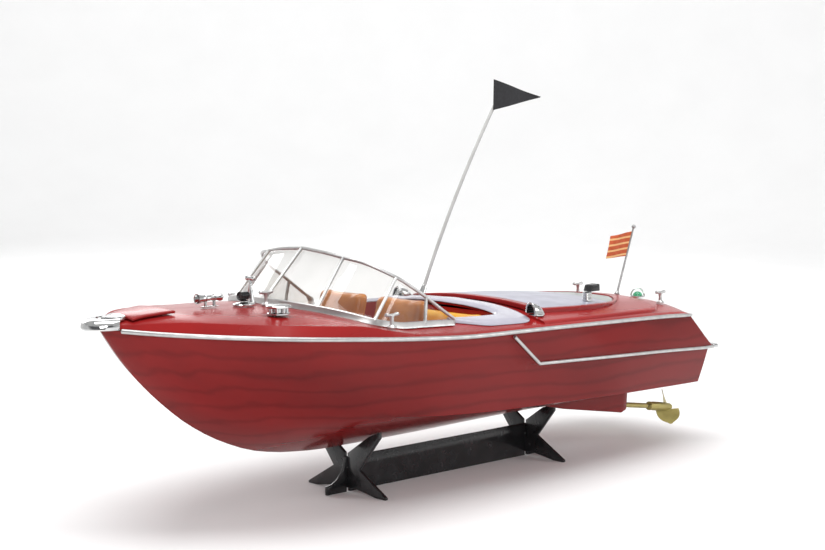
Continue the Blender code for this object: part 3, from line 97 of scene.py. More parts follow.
# Where the deck's fittings stand in plan; those in pairs stand to either side.
SCOOP = (-0.0655, 0.0797)
BOW_CLEAT = (0.1135, 0.0955)
STERN_CLEAT = (-0.268, 0.05)
CENTRE_CLEAT = (0.168, 0.0125)
HORN = (0.219, 0.0065)
SEARCHLIGHT = (0.187, 0.009)
BOW_LIGHT = (0.17, -0.004)
FILLER = (0.1915, 0.0555)
STERN_LIGHT = (-0.272, 0.02)
WHEEL_HUB = Vector((0.0945, 0.035, 0.137))
WHEEL_RADIUS = 0.0105

PAD_RISE = 0.0013         # how far the front sun pad stands over the hatch
BAY = (-0.19, -0.078, 0.052)         # opening under the hatch
FLOOR_Z = 0.1
ANTENNA_FOOT = Vector((-0.0928, -0.0836, 0.1447))
ANTENNA_BEND = Vector((-0.1289, -0.0836, 0.2259))
ANTENNA_TIP = Vector((-0.1831, -0.0836, 0.3074))
ANTENNA_RADIUS = 0.0016
POLE_FOOT = Vector((-0.265, 0.0, 0.1325))
POLE_TIP = Vector((-0.2897, 0.0, 0.1975))
SCREEN_BASE = ((0.16, 0.0), (0.157, 0.028), (0.149, 0.05), (0.138, 0.071), (0.1235, 0.0865),
               (0.1, 0.0875), (0.0685, 0.0852), (0.053, 0.0845), (0.036, 0.084))
SCREEN_TOP = ((0.121, 0.0, 0.2025), (0.1205, 0.026, 0.2005), (0.1175, 0.045, 0.1975),
              (0.11, 0.063, 0.1935), (0.093, 0.0785, 0.183), (0.079, 0.0815, 0.1745),
              (0.065, 0.083, 0.1657), (0.05, 0.084, 0.1553), (0.036, 0.0845, 0.1465))
SCREEN_POSTS = (0, 2, 4, 6)   # which of those points carry a post

# ---------------------------------------------------------------- finishes
def shader_node(tree, kind, values=None, links=None, **settings):
    """A shader node with its settings, then values and links for its inputs by key."""
    made = tree.nodes.new("ShaderNode" + kind)
    for key, value in settings.items():
        setattr(made, key, value)
    for key, value in (values or {}).items():
        made.inputs[key].default_value = value
    for key, socket in (links or {}).items():
        tree.links.new(socket, made.inputs[key])
    return made


def noise_node(tree, where, scale, detail, stretch=(1, 1, 1), turn=(0, 0, 0)):
    """A noise over the object's own coordinates, stretched and turned."""
    fit = shader_node(tree, "Mapping", {"Scale": stretch, "Rotation": turn},
                      {"Vector": where.outputs["Object"]})
    noise = shader_node(tree, "TexNoise", {"Scale": scale, "Detail": detail},
                        {"Vector": fit.outputs["Vector"]})
    return noise, fit


def finish(name, base, shade, rough=(0.2, 0.3), grain=90.0, bump=0.05, metal=0.0, coat=0.0,
           stretch=(1, 1, 1), turn=(0, 0, 0), clear=0.0, bands=None, fine=900.0, shine=0.5):
    """A finish whose colour, roughness and relief come from stretched noises.

    bands is (scale, distortion, strength) of darker lines across the stretched direction.
    """
    made = bpy.data.materials.new(name)
    made.use_nodes = True
    tree = made.node_tree
    where = shader_node(tree, "TexCoord")
    noise, fit = noise_node(tree, where, grain, 5.0, stretch, turn)
    ramp = shader_node(tree, "MapRange", {"From Min": 0.35, "From Max": 0.7},
                       {"Value": noise.outputs["Fac"]})
    amount = ramp.outputs["Result"]
    if bands:
        scale, distortion, strength = bands
        wave = shader_node(tree, "TexWave", {"Scale": scale, "Distortion": distortion,
                                             "Detail": 3.0, "Detail Scale": 1.4},
                           {"Vector": fit.outputs["Vector"]}, bands_direction="Z")
        sharpen = shader_node(tree, "Math", {1: 5.0}, {0: wave.outputs["Fac"]},
                              operation="POWER")
        rest = shader_node(tree, "Math", {1: 1 - strength}, {0: amount}, operation="MULTIPLY")
        blend = shader_node(tree, "Math", {1: strength},
                            {0: sharpen.outputs["Value"], 2: rest.outputs["Value"]},
                            operation="MULTIPLY_ADD", use_clamp=True)
        amount = blend.outputs["Value"]
    colour = shader_node(tree, "Mix", {"A": (*base, 1), "B": (*shade, 1)}, {"Factor": amount},
                         data_type="RGBA")
    polish = shader_node(tree, "MapRange", {"From Min": 0.3, "From Max": 0.7,
                                            "To Min": rough[0], "To Max": rough[1]},
                         {"Value": noise.outputs["Fac"]})
    speckle, _ = noise_node(tree, where, fine, 2.0)
    relief = shader_node(tree, "Bump", {"Strength": bump, "Distance": 0.0003},
                         {"Height": speckle.outputs["Fac"]})
    shader = tree.nodes["Principled BSDF"]
    for key, socket in (("Base Color", colour.outputs["Result"]),
                        ("Roughness", polish.outputs["Result"]),
                        ("Normal", relief.outputs["Normal"])):
        tree.links.new(socket, shader.inputs[key])
    for key, value in (("Metallic", metal), ("Specular IOR Level", shine),
                       ("Coat Weight", coat), ("Coat Roughness", 0.04),
                       ("Transmission Weight", clear)):
        shader.inputs[key].default_value = value
    return made


def overlay(made, colour, toward, kind, values, **settings):
    """Lay a colour over a finish by a measure of how far each spot lies toward a direction."""
    tree = made.node_tree
    shader = tree.nodes["Principled BSDF"]
    where = shader_node(tree, "TexCoord")
    along = shader_node(tree, "VectorMath", {1: toward}, {0: where.outputs["Object"]},
                        operation="DOT_PRODUCT")
    amount = along.outputs["Value"]
    if kind == "Math":
        part = shader_node(tree, "Math", None, {0: amount}, operation="FRACT")
        amount = part.outputs["Value"]
    share = shader_node(tree, kind, values, {0: amount}, **settings)
    under = shader.inputs["Base Color"].links[0].from_socket
    paint = shader_node(tree, "Mix", {"B": (*colour, 1)},
                        {"Factor": share.outputs[0], "A": under}, data_type="RGBA")
    tree.links.new(paint.outputs["Result"], shader.inputs["Base Color"])
    return made


def striped(name, ground, stripe, direction, period, share):
    """Woven cloth with printed stripes across a direction."""
    made = finish(name, ground, tuple(0.8 * c for c in ground), (0.7, 0.85), 250.0, 0.4,
                  fine=2600.0)
    return overlay(made, stripe, tuple(c / period for c in direction), "Math", {1: share},
                   operation="LESS_THAN")


FINISH = {
    "mahogany": finish("mahogany_lacquer", (0.225, 0.012, 0.012), (0.11, 0.006, 0.006),
                       (0.12, 0.2), 16.0, 0.02, coat=0.08, stretch=(0.22, 1.0, 1.0),
                       turn=(0, 0.16, 0), bands=(24.0, 5.0, 0.38), shine=0.13),
    "deck_red": finish("deck_lacquer", (0.33, 0.014, 0.014), (0.24, 0.01, 0.01),
                       (0.2, 0.3), 30.0, 0.02, coat=0.06, stretch=(0.2, 1.0, 1.0), shine=0.2),
    "chrome": finish("bright_chrome", (0.72, 0.72, 0.71), (0.52, 0.53, 0.54), (0.05, 0.14),
                     120.0, 0.03, metal=1.0),
    "satin": finish("satin_rail", (0.6, 0.6, 0.59), (0.48, 0.48, 0.48), (0.3, 0.42),
                    120.0, 0.04, metal=0.85),
    "clear": finish("screen_clear", (0.84, 0.83, 0.815), (0.79, 0.785, 0.77), (0.0, 0.03),
                    40.0, 0.005, clear=1.0),
    "tan": finish("tan_vinyl", (0.62, 0.22, 0.03), (0.46, 0.14, 0.018), (0.25, 0.42), 70.0,
                  0.25, coat=0.35),
    "yellow": finish("yellow_vinyl", (0.86, 0.45, 0.02), (0.74, 0.32, 0.015), (0.25, 0.42),
                     70.0, 0.25, coat=0.35),
    "white": finish("white_moulding", (0.47, 0.46, 0.54), (0.41, 0.4, 0.47), (0.16, 0.28),
                    50.0, 0.04, coat=0.5),
    "pole": finish("pole_steel", (0.4, 0.4, 0.4), (0.3, 0.3, 0.3), (0.25, 0.35), 150.0,
                   0.05, metal=0.6),
    "whip": finish("whip_tube", (0.5, 0.5, 0.49), (0.42, 0.42, 0.41), (0.3, 0.4), 60.0,
                   0.05, coat=0.2),
    "pad": finish("pad_vinyl", (0.36, 0.36, 0.44), (0.31, 0.31, 0.37), (0.3, 0.42), 60.0,
                  0.15, coat=0.2),
    "pad_aft": finish("pad_vinyl_aft", (0.32, 0.35, 0.34), (0.27, 0.3, 0.29), (0.3, 0.42),
                      60.0, 0.15, coat=0.2),
    "black": finish("black_plastic", (0.012, 0.012, 0.013), (0.025, 0.025, 0.027),
                    (0.16, 0.28), 80.0, 0.08),
    "brass": finish("olive_brass", (0.47, 0.39, 0.13), (0.33, 0.28, 0.09), (0.3, 0.42), 150.0,
                    0.1, metal=0.55, stretch=(0.3, 1, 1)),
    "steel": finish("brushed_steel", (0.56, 0.56, 0.57), (0.42, 0.42, 0.44), (0.22, 0.36),
                    200.0, 0.12, metal=1.0, stretch=(0.1, 1, 1)),
    "green": finish("green_lens", (0.12, 0.6, 0.32), (0.08, 0.45, 0.24), (0.03, 0.08), 90.0,
                    0.02, clear=0.6),
    "pennant_cloth": finish("pennant_weave", (0.014, 0.014, 0.016), (0.03, 0.03, 0.034),
                            (0.75, 0.9), 300.0, 0.5, fine=2600.0),
    "ensign_cloth": striped("ensign_weave", (0.55, 0.1, 0.03), (0.78, 0.46, 0.2),
                            (0.073, -0.035, 0.997), 0.0052, 0.32),
    "board": finish("circuit_board", (0.02, 0.2, 0.08), (0.015, 0.13, 0.05), (0.35, 0.5),
                    260.0, 0.3),
    "battery": finish("battery_wrap", (0.02, 0.09, 0.34), (0.016, 0.06, 0.24), (0.3, 0.42),
                      60.0, 0.1),
    # Near-black slats in the scoops' mouths: painted shade inside the vents.
    "vent_painted_shade": finish("vent_shadow", (0.008, 0.008, 0.009), (0.02, 0.018, 0.018),
                        (0.5, 0.65), 120.0, 0.1),
}


# ---------------------------------------------------------------- building helpers
def place(name, mesh):
    """Put a mesh in the scene under its piece name."""
    made = bpy.data.objects.new(name, mesh)
    bpy.context.scene.collection.objects.link(made)
    return made


def finish_mesh(name, bm, sharp=35.0):
    """Turn a bmesh into an object with smooth round faces and outward normals."""
    bmesh.ops.recalc_face_normals(bm, faces=bm.faces)
    mesh = bpy.data.meshes.new(name)
    bm.to_mesh(mesh)
    bm.free()
    mesh.shade_smooth()
    mesh.set_sharp_from_angle(angle=math.radians(sharp))
    return place(name, mesh)


def apply_modifiers(item, sharp=35.0):
    """Swap an object's mesh for one with its modifiers worked in."""
    graph = bpy.context.evaluated_depsgraph_get()
    mesh = bpy.data.meshes.new_from_object(item.evaluated_get(graph))
    item.modifiers.clear()
    item.data = mesh
    mesh.shade_smooth()
    mesh.set_sharp_from_angle(angle=math.radians(sharp))
    return item


def boolean(item, other, operation):
    """Cut or join with another object, which is then dropped."""
    step = item.modifiers.new(operation.lower(), "BOOLEAN")
    step.operation = operation
    step.solver = "EXACT"
    step.object = other
    apply_modifiers(item)
    bpy.data.objects.remove(other)
    return item


def merged(name, pieces):
    """One mesh from several pieces that touch."""
    bm = bmesh.new()
    for piece in pieces:
        bm.from_mesh(piece.data)
        bpy.data.objects.remove(piece)
    return finish_mesh(name, bm)


def bevelled(item, width, steps=2):
    """Round an object's sharp edges over."""
    step = item.modifiers.new("bevel", "BEVEL")
    step.width = width
    step.segments = steps
    step.limit_method = "ANGLE"
    step.angle_limit = math.radians(28)
    step.use_clamp_overlap = True
    return apply_modifiers(item)


def show(piece, look, body, *nodes):
    """Give a piece its finish, tie it to its body and let it stand for frame nodes."""
    piece.data.materials.clear()
    piece.data.materials.append(FINISH[look])
    for face in piece.data.polygons:
        face.material_index = 0
    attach(piece, body)
    for node in nodes:
        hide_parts(node)
    return piece


def softened(node, width, look, body):
    """A copy of a frame node with its triangles merged and its edges rounded."""
    bm = bmesh.new()
    bm.from_mesh(CAD[node].data)
    bmesh.ops.remove_doubles(bm, verts=bm.verts, dist=WELD)
    bmesh.ops.dissolve_limit(bm, angle_limit=math.radians(2), verts=bm.verts, edges=bm.edges)
    piece = finish_mesh(node + "_eased", bm)
    return show(bevelled(piece, width), look, body, node)


def box(name, low, high, bevel=0.0, steps=3):
    """A box between two corners, with rounded edges if asked."""
    bm = bmesh.new()
    bmesh.ops.create_cube(bm, size=1.0)
    bmesh.ops.scale(bm, vec=Vector(high) - Vector(low), verts=bm.verts)
    bmesh.ops.translate(bm, vec=(Vector(high) + Vector(low)) / 2, verts=bm.verts)
    if bevel:
        bmesh.ops.bevel(bm, geom=bm.edges[:], offset=bevel, segments=steps, profile=0.5,
                        affect="EDGES")
    return finish_mesh(name, bm)


def around(count, shift=0.0):
    """Evenly spaced angles round a full turn."""
    return [2 * math.pi * (k + shift) / count for k in range(count)]


def above(spot, height):
    """The spot that lies a height over another one."""
    return spot + Vector((0, 0, height))


def join_rings(bm, rings):
    """Faces between closed rings of points, from each ring to the next."""
    for one, two in zip(rings, rings[1:]):
        for k in range(len(one)):
            n = (k + 1) % len(one)
            bm.faces.new((one[k], one[n], two[n], two[k]))


def skin(name, rings):
    """A closed solid over rings of points, capped at both ends."""
    bm = bmesh.new()
    rings = [[bm.verts.new(p) for p in ring] for ring in rings]
    join_rings(bm, rings)
    bm.faces.new(rings[0])
    bm.faces.new(rings[-1])
    return finish_mesh(name, bm)


def lathe(name, start, direction, profile, sides=32, squash=(1.0, 1.0)):
    """A turned shape: (distance along the axis, radius) points, closed at both ends."""
    turn = Vector(direction).normalized().to_track_quat("Z", "Y").to_matrix()
    rings = []
    for along, radius in profile:
        ring = [Vector((squash[0] * radius * math.cos(a), squash[1] * radius * math.sin(a),
                        along)) for a in around(sides)]
        rings.append([turn @ spot + Vector(start) for spot in ring])
    return skin(name, rings)


def torus(name, centre, direction, radius, tube, sides=48, rounds=12):
    """A ring about an axis."""
    turn = Vector(direction).to_track_quat("Z", "Y").to_matrix()
    bm = bmesh.new()
    rim = []
    for a in around(sides):
        ring = []
        for b in around(rounds):
            reach = radius + tube * math.cos(b)
            spot = Vector((reach * math.cos(a), reach * math.sin(a), tube * math.sin(b)))
            ring.append(bm.verts.new(turn @ spot + Vector(centre)))
        rim.append(ring)
    join_rings(bm, rim + [rim[0]])
    return finish_mesh(name, bm)


def sweep(name, path, radius, sides=12, flat=1.0):
    """A round bar along a path; radius is a number or one for each point."""
    points = [Vector(p) for p in path]
    radii = radius if isinstance(radius, (list, tuple)) else [radius] * len(points)
    rings = []
    for k, spot in enumerate(points):
        ahead = points[min(k + 1, len(points) - 1)] - points[max(k - 1, 0)]
        forward = ahead.normalized()
        across = forward.cross(UP)
        if across.length < 0.1:
            across = forward.cross(Vector((0, 1, 0)))
        across.normalize()
        up = across.cross(forward)
        rings.append([spot + radii[k] * (math.cos(a) * across + flat * math.sin(a) * up)
                      for a in around(sides, 0.5)])
    return skin(name, rings)


def slab(name, rows, sharp=35.0):
    """A closed slab from rows of (upper point, lower point) pairs, all of one length."""
    bm = bmesh.new()
    upper, lower = [[[bm.verts.new(pair[face]) for pair in row] for row in rows]
                    for face in (0, 1)]
    last_row, last_col = len(rows) - 1, len(rows[0]) - 1
    for grid in (upper, lower):
        for i in range(last_row):
            for j in range(last_col):
                bm.faces.new((grid[i][j], grid[i + 1][j], grid[i + 1][j + 1], grid[i][j + 1]))
    for i in range(last_row):
        for j in (0, last_col):
            bm.faces.new((upper[i][j], upper[i + 1][j], lower[i + 1][j], lower[i][j]))
    for j in range(last_col):
        for i in (0, last_row):
            bm.faces.new((upper[i][j], upper[i][j + 1], lower[i][j + 1], lower[i][j]))
    bmesh.ops.remove_doubles(bm, verts=bm.verts, dist=WELD)
    return finish_mesh(name, bm, sharp)


def plate(name, outline, thickness, to_world):
    """A flat outline, thickened about its own plane, then placed."""
    bm = bmesh.new()
    low, high = [[bm.verts.new((u, v, side * thickness / 2)) for u, v in outline]
                 for side in (-1, 1)]
    bm.faces.new(list(reversed(low)))
    bm.faces.new(high)
    join_rings(bm, [low, high])
    bmesh.ops.transform(bm, matrix=to_world, verts=bm.verts)
    bmesh.ops.triangulate(bm, faces=[f for f in bm.faces if len(f.verts) > 4])
    return finish_mesh(name, bm)


def mirrored_skin(bm, rows, tip):
    """Faces over port rows of points and over their mirror, drawn together at a tip."""
    port = [[bm.verts.new(p) for p in row] for row in rows]
    starboard = [[v if i == 0 else bm.verts.new((v.co.x, -v.co.y, v.co.z))
                  for i, v in enumerate(row)] for row in port]
    end = bm.verts.new(tip)
    for half in (port, starboard):
        for one, two in zip(half, half[1:]):
            for i in range(len(one) - 1):
                bm.faces.new((one[i], two[i], two[i + 1], one[i + 1]))
        for i in range(len(half[-1]) - 1):
            bm.faces.new((half[-1][i], end, half[-1][i + 1]))
    return port, starboard, end


# ---------------------------------------------------------------- hull lines
def smooth_line(points):
    """A smooth curve through (x, value) points that never overshoots them."""
    xs, vs = np.array(points, float).T
    rise = np.diff(vs) / np.diff(xs)
    slope = np.zeros(len(xs))
    slope[0], slope[-1] = rise[0], rise[-1]
    for k in range(1, len(xs) - 1):
        if rise[k - 1] * rise[k] > 0:
            slope[k] = 2 * rise[k - 1] * rise[k] / (rise[k - 1] + rise[k])

    def value(x):
        x = min(max(x, xs[0]), xs[-1])
        k = min(max(int(np.searchsorted(xs, x)) - 1, 0), len(xs) - 2)
        width = xs[k + 1] - xs[k]
        t = (x - xs[k]) / width
        a = (1 + 2 * t) * (1 - t) ** 2
        b = t * t * (3 - 2 * t)
        return float(a * vs[k] + b * vs[k + 1] + width * t * (1 - t) *
                     ((1 - t) * slope[k] - t * slope[k + 1]))
    return value


keel_z = smooth_line(KEEL)
sheer_z = smooth_line(SHEER)
chine_breadth = smooth_line(CHINE_BREADTH)
chine_height = smooth_line(CHINE_HEIGHT)
deck_lip = smooth_line(DECK_LIP)
deck_crown = smooth_line(DECK_CROWN)
toe_lip = smooth_line(TOE_LIP)
moulding_share = smooth_line(MOULDING)


def smoothstep(low, high, x):
    """0 up to low, 1 from high on, and a smooth rise between; low may exceed high."""
    t = min(max((x - low) / (high - low), 0.0), 1.0)
    return t * t * (3 - 2 * t)


def half_beam(x):
    """The hull's half breadth at the rub rail."""
    if x > FULL_BEAM_X:
        share = min((x - FULL_BEAM_X) / (BOW_X - FULL_BEAM_X), 1.0)
        return HALF_BEAM * (1 - share ** 2.8) ** 0.9
    return HALF_BEAM - 0.032 * ((FULL_BEAM_X - x) / 0.4) ** 1.8


def hull_section(x):
    """Keel, chine and rail points of one section as (y, z), and its two curve handles."""
    keel = np.array((0.0, keel_z(x)))
    rail = np.array((half_beam(x), sheer_z(x)))
    chine = np.array((rail[0] * chine_breadth(x),
                      keel[1] + (rail[1] - keel[1]) * chine_height(x)))
    chord = rail - keel
    along = chord / max(np.linalg.norm(chord), 1e-9)
    fair = smoothstep(*BILGE_FAIR, x)
    hard_low = (keel + chine) / 2 + np.array((0.0, -0.0008))
    hard_side = (chine + rail) / 2 + np.array((0.0025, 0.0))
    soft_low = chine - along * np.linalg.norm(chine - keel) * 0.45
    soft_side = chine + along * np.linalg.norm(rail - chine) * 0.45
    low = hard_low + (soft_low - hard_low) * fair
    side = hard_side + (soft_side - hard_side) * fair
    return keel, low, chine, side, rail


def bend(one, handle, two, t):
    """A point on the quadratic curve from one end to the other, pulled toward a handle."""
    return (1 - t) ** 2 * one + 2 * t * (1 - t) * handle + t * t * two


def bottom_point(x, share):
    """(y, z) on the hull's bottom, share 0 at the keel and 1 at the chine."""
    keel, low, chine, _, _ = hull_section(x)
    return bend(keel, low, chine, share)


def side_point(x, share):
    """(y, z) on the hull's side, share 0 at the chine height and 1 at the rail's."""
    _, _, chine, side, rail = hull_section(x)
    a = chine[1] - 2 * side[1] + rail[1]
    b = 2 * (side[1] - chine[1])
    c = -share * (rail[1] - chine[1])
    if abs(a) < 1e-7:
        t = share
    else:
        t = (-b + math.sqrt(max(b * b - 4 * a * c, 0.0))) / (2 * a)
    return bend(chine, side, rail, min(max(t, 0.0), 1.0))


def side_y(x, z):
    """Half breadth of the hull's side at a height."""
    _, _, chine, _, rail = hull_section(x)
    return float(side_point(x, (z - chine[1]) / (rail[1] - chine[1]))[0])


def deck_edge(x):
    """(y, z) of the deck's outer edge, above and a little inside the rub rail."""
    lip = deck_lip(x)
    return max(half_beam(x) - 0.6 * lip - 0.0005, 0.0), sheer_z(x) + lip


def stern_bow(x, y):
    """How far aft the deck's sections bow out at y, near the stern."""
    return STERN_BULGE * (1 - (y / half_beam(x)) ** 2) * smoothstep(-0.2, -0.27, x)


def deck_z(x, y):
    """Height of the deck's surface."""
    return section_deck_z(min(x + stern_bow(x, y), BOW_X), y)


def section_deck_z(x, y):
    """Height of the deck in the section that meets the rail at x."""
    edge, height = deck_edge(x)
    share = min(abs(y) / max(edge, 1e-4), 1.0)
    rounding = 1 - share ** 2.2
    return height - toe_lip(x) * smoothstep(1.0, 0.93, share) + deck_crown(x) * rounding


def raked_x(station, share):
    """x of a raked station at a share of the side's height; below the chine it is plumb."""
    low, middle, top = station
    split = moulding_share(low)
    if share <= split:
        return low + (middle - low) * share / split
    return middle + (top - middle) * (share - split) / (1 - split)


def stations(pairs):
    """Raked stations between key ones: each pair is a station and the steps to the next."""
    made = []
    for (start, steps), (end, _) in zip(pairs, pairs[1:]):
        for k in range(steps):
            t = k / steps
            made.append(tuple(a + (b - a) * t for a, b in zip(start, end)))
    made.append(pairs[-1][0])
    return made


def bow_stations(start, count):
    """Plumb stations from start to the stem, closer together towards the stem."""
    made = []
    for k in range(1, count):
        x = start + (BOW_X - start) * math.sin(math.pi / 2 * k / count)
        made.append((x, x, x))
    return made


def shaft_point(x, side):
    """A point on a propeller shaft's axis; side is 1 for port and -1 for starboard."""
    return Vector((x, side * SHAFT_Y, SHAFT_Z0 + SHAFT_SLOPE * (x - SHAFT_X0)))


def inside_ring(ring, first):
    """The ring drawn in by about the wall's thickness, its top lifted clear of the rail."""
    top_y, top_z = ring[-1][1:]
    narrow = 1 - 1.2 * HULL_WALL / top_y
    shallow = 1 - 1.4 * HULL_WALL / (top_z - ring[0][2])
    moved = [(x + 1.5 * HULL_WALL * first, y * narrow, top_z + (z - top_z) * shallow)
             for x, y, z in ring]
    x, y, z = moved[-1]
    return moved + [(x, y, z + 0.006)]


def catmull(points, steps):
    """A smooth path through points, with a number of steps between each pair."""
    spots = [Vector(p) for p in points]
    spots = [2 * spots[0] - spots[1]] + spots + [2 * spots[-1] - spots[-2]]
    path = []
    for k in range(1, len(spots) - 2):
        a, b, c, d = spots[k - 1:k + 3]
        for s in range(steps):
            t = s / steps
            path.append(0.5 * (2 * b + (c - a) * t + (2 * a - 5 * b + 4 * c - d) * t * t
                               + (3 * b - a - 3 * c + d) * t ** 3))
    path.append(spots[-2])
    return path


def screen_lines(steps=2):
    """The windscreen's base and top lines, port fore to aft, as matching point lists."""
    base = [Vector((p.x, p.y, deck_z(p.x, p.y))) for p in
            catmull([(x, y, 0.0) for x, y in SCREEN_BASE], steps)]
    return base, catmull(SCREEN_TOP, steps)


def both_sides(half):
    """A path over both sides from its port half, which starts on the centreline."""
    return [Vector((p.x, -p.y, p.z)) for p in reversed(half[1:])] + list(half)


def on_deck(x, y, reach):
    """Where a level foot of that radius stands, just clear of the crowned deck."""
    rim = [deck_z(x + reach * math.cos(a), y + reach * math.sin(a)) for a in around(8)]
    return Vector((x, y, max(rim + [deck_z(x, y)]) + 2 * GAP))


def hatch_half(x):
    """Half breadth of the raised engine hatch: broad in front, drawn to a tip aft."""
    aft, fore = HATCH
    share = min(max((x - aft) / (fore - aft), 0.0), 1.0)
    return 0.0755 * (1 - (1 - share) ** 3.0) ** 0.55


def hatch_top(x, y):
    """Height of the hatch's top, which is a little flatter than the deck under it."""
    lift = 0.0036 - 0.0014 * smoothstep(-0.15, -0.21, x)
    return deck_z(x, 0.0) - HATCH_CROWN * (deck_z(x, 0.0) - deck_z(x, y)) + lift


def move_toward(start, end, distance):
    """The point at a distance from a start, in the direction of an end."""
    return start + (end - start).normalized() * distance


def pole_point(distance):
    """A point on the flagpole's axis, at a distance up from the deck."""
    return move_toward(POLE_FOOT, POLE_TIP, distance)


def hull_solid(name, rings, tip):
    """A closed solid through port half rings, mirrored, with a flat lid and a bow tip."""
    bm = bmesh.new()
    port, starboard, stem = mirrored_skin(bm, rings, tip)
    levels = []
    for i, v in enumerate(port[0]):
        level = [v]
        if i:
            for share in (0.66, 0.33, 0.0, -0.33, -0.66):
                bow = STERN_BULGE * (1 - share ** 2) * smoothstep(0.09, 0.119, v.co.z)
                level.append(bm.verts.new((v.co.x - bow, share * v.co.y, v.co.z)))
            level.append(starboard[0][i])
        levels.append(level)
    for one, two in zip(levels, levels[1:]):
        for k in range(len(two) - 1):
            corners = [one[min(k, len(one) - 1)], one[min(k + 1, len(one) - 1)],
                       two[k + 1], two[k]]
            bm.faces.new(list(dict.fromkeys(corners)))
    bm.faces.new(levels[-1] + [starboard[1][-1], port[1][-1]])
    for k in range(1, len(port) - 1):
        bm.faces.new((port[k][-1], port[k + 1][-1], starboard[k + 1][-1], starboard[k][-1]))
    bm.faces.new((port[-1][-1], stem, starboard[-1][-1]))
    return finish_mesh(name, bm)


# ---------------------------------------------------------------- hull
def fine_hull_rings():
    """Port side points, keel to rail, one list per station from the stern to the bow."""
    keys = [(TRANSOM, 8), ((-0.24, -0.24, -0.24), 16), (PANEL_BACK, 3), (PANEL_EDGE, 4),
            (PANEL_START, 5), ((0.03, 0.03, 0.03), 0)]
    rows = stations(keys)
    proud = [min(max((PANEL_START[1] - row[1]) / (PANEL_START[1] - PANEL_EDGE[1]), 0.0), 1.0)
             for row in rows]
    bow = bow_stations(0.03, 30)
    rows += bow
    proud += [0.0] * len(bow)
    rings = []
    for row, amount in zip(rows, proud):
        ring = []
        for k in range(7):
            y, z = bottom_point(row[0], k / 6)
            ring.append((row[0], y, z))
        split = moulding_share(row[0])
        lower = [(split - STEP_FRACTION) * k / 5 for k in range(1, 6)]
        upper = [split + (1 - split) * k / 6 for k in range(7)]
        for share in lower + upper:
            x = raked_x(row, share)
            y, z = side_point(x, share)
            if share >= split:
                y += amount * PANEL_STEP * (1 - share) / (1 - split)
            ring.append((x, y, z))
        rings.append(ring)
    return rings


def make_hull():
    """The thin hull moulding, open at the top, with a skeg around each stern tube."""
    rings = fine_hull_rings()
    outer = hull_solid("hull_shell_skin", rings, (BOW_X, 0.0, sheer_z(BOW_X)))
    inner = [inside_ring(ring, k == 0) for k, ring in enumerate(rings)
             if ring[-1][1] > 5 * HULL_WALL]
    x, _, z = inner[-1][-1]
    boolean(outer, hull_solid("hull_inside", inner, (x + 0.4 * (BOW_X - x), 0.0, z)),
            "DIFFERENCE")
    for _, side in SIDES:
        boolean(outer, make_skeg(side), "UNION")
    for _, side in SIDES:
        start, end = shaft_point(-0.25, side), shaft_point(-0.06, side)
        bore = lathe("shaft_bore", start, end - start,
                     [(0, TUBE_RADIUS + GAP), ((end - start).length, TUBE_RADIUS + GAP)])
        boolean(outer, bore, "DIFFERENCE")
    show(outer, "mahogany", "boat", "hull_shell")


def make_skeg(side):
    """The wedge that carries a stern tube, with softened edges."""
    outline = [(-0.112, 0.0535), (-0.142, 0.0468), (-0.222, 0.0335), (-0.2285, 0.0355),
               (-0.23, 0.052), (-0.205, 0.0575), (-0.105, 0.0625), (-0.098, 0.0585)]
    stand_up = Matrix.Rotation(math.pi / 2, 4, "X")
    wedge = plate("skeg", outline, 2 * SKEG_HALF,
                  Matrix.Translation((0, side * SHAFT_Y, 0)) @ stand_up)
    return bevelled(wedge, 0.0012, 3)


# ---------------------------------------------------------------- deck
TIER_HALF = ((-0.228, 0.076), (-0.185, 0.0822), (-0.137, 0.0883), (-0.093, 0.093),
             (-0.058, 0.0965))      # half breadth of the raised tier round the hatch
TIER_EDGE = ((0.0, 0.0003), (0.0004, 0.0012), (0.0011, 0.0018), (0.0024, 0.0021))


def make_deck():
    """The deck moulding: bevelled edge, toe lip at the bow, crown, and its openings."""
    start = TRANSOM[2] + 0.0075
    xs = [start + (0.289 - start) * k / 80 for k in range(81)] + [0.294, 0.299, 0.303, 0.306]
    shares = [k / 16 for k in range(14)] + [0.86, 0.9, 0.93, 0.944, 0.955, 0.97, 1.0]
    rows = []
    for x in xs:
        edge, _ = deck_edge(x)
        half = [(share * edge, section_deck_z(x, share * edge)) for share in shares]
        half.append((half_beam(x), sheer_z(x) + DECK_SEAM))
        rows.append([(x - stern_bow(x, y), y, z) for y, z in half])
    flat = sheer_z(TRANSOM[2]) + DECK_SEAM
    rows.insert(0, [(TRANSOM[2] - stern_bow(TRANSOM[2], y), y, flat) for _, y, _ in rows[0]])
    bm = bmesh.new()
    mirrored_skin(bm, rows, (BOW_X - 0.0005, 0.0, sheer_z(BOW_X) + DECK_SEAM))
    bmesh.ops.remove_doubles(bm, verts=bm.verts, dist=WELD)
    deck = finish_mesh("deck_shell_skin", bm)
    wall = deck.modifiers.new("wall", "SOLIDIFY")
    wall.thickness = DECK_WALL
    wall.offset = -1.0
    wall.use_even_offset = True
    apply_modifiers(deck)
    low, high = 0.09, 0.18
    pole, reach = pole_point(-0.02), 0.04
    cuts = (cockpit_prism("cockpit_cut", low, high),
            box("bay_cut", (BAY[0], -BAY[2], low), (BAY[1], BAY[2], high)),
            lathe("pole_cut", pole, pole_point(0.02) - pole, [(0, 0.0018), (reach, 0.0018)], 16))
    for cut in cuts:
        boolean(deck, cut, "DIFFERENCE")
    show(deck, "deck_red", "boat", "deck_shell")


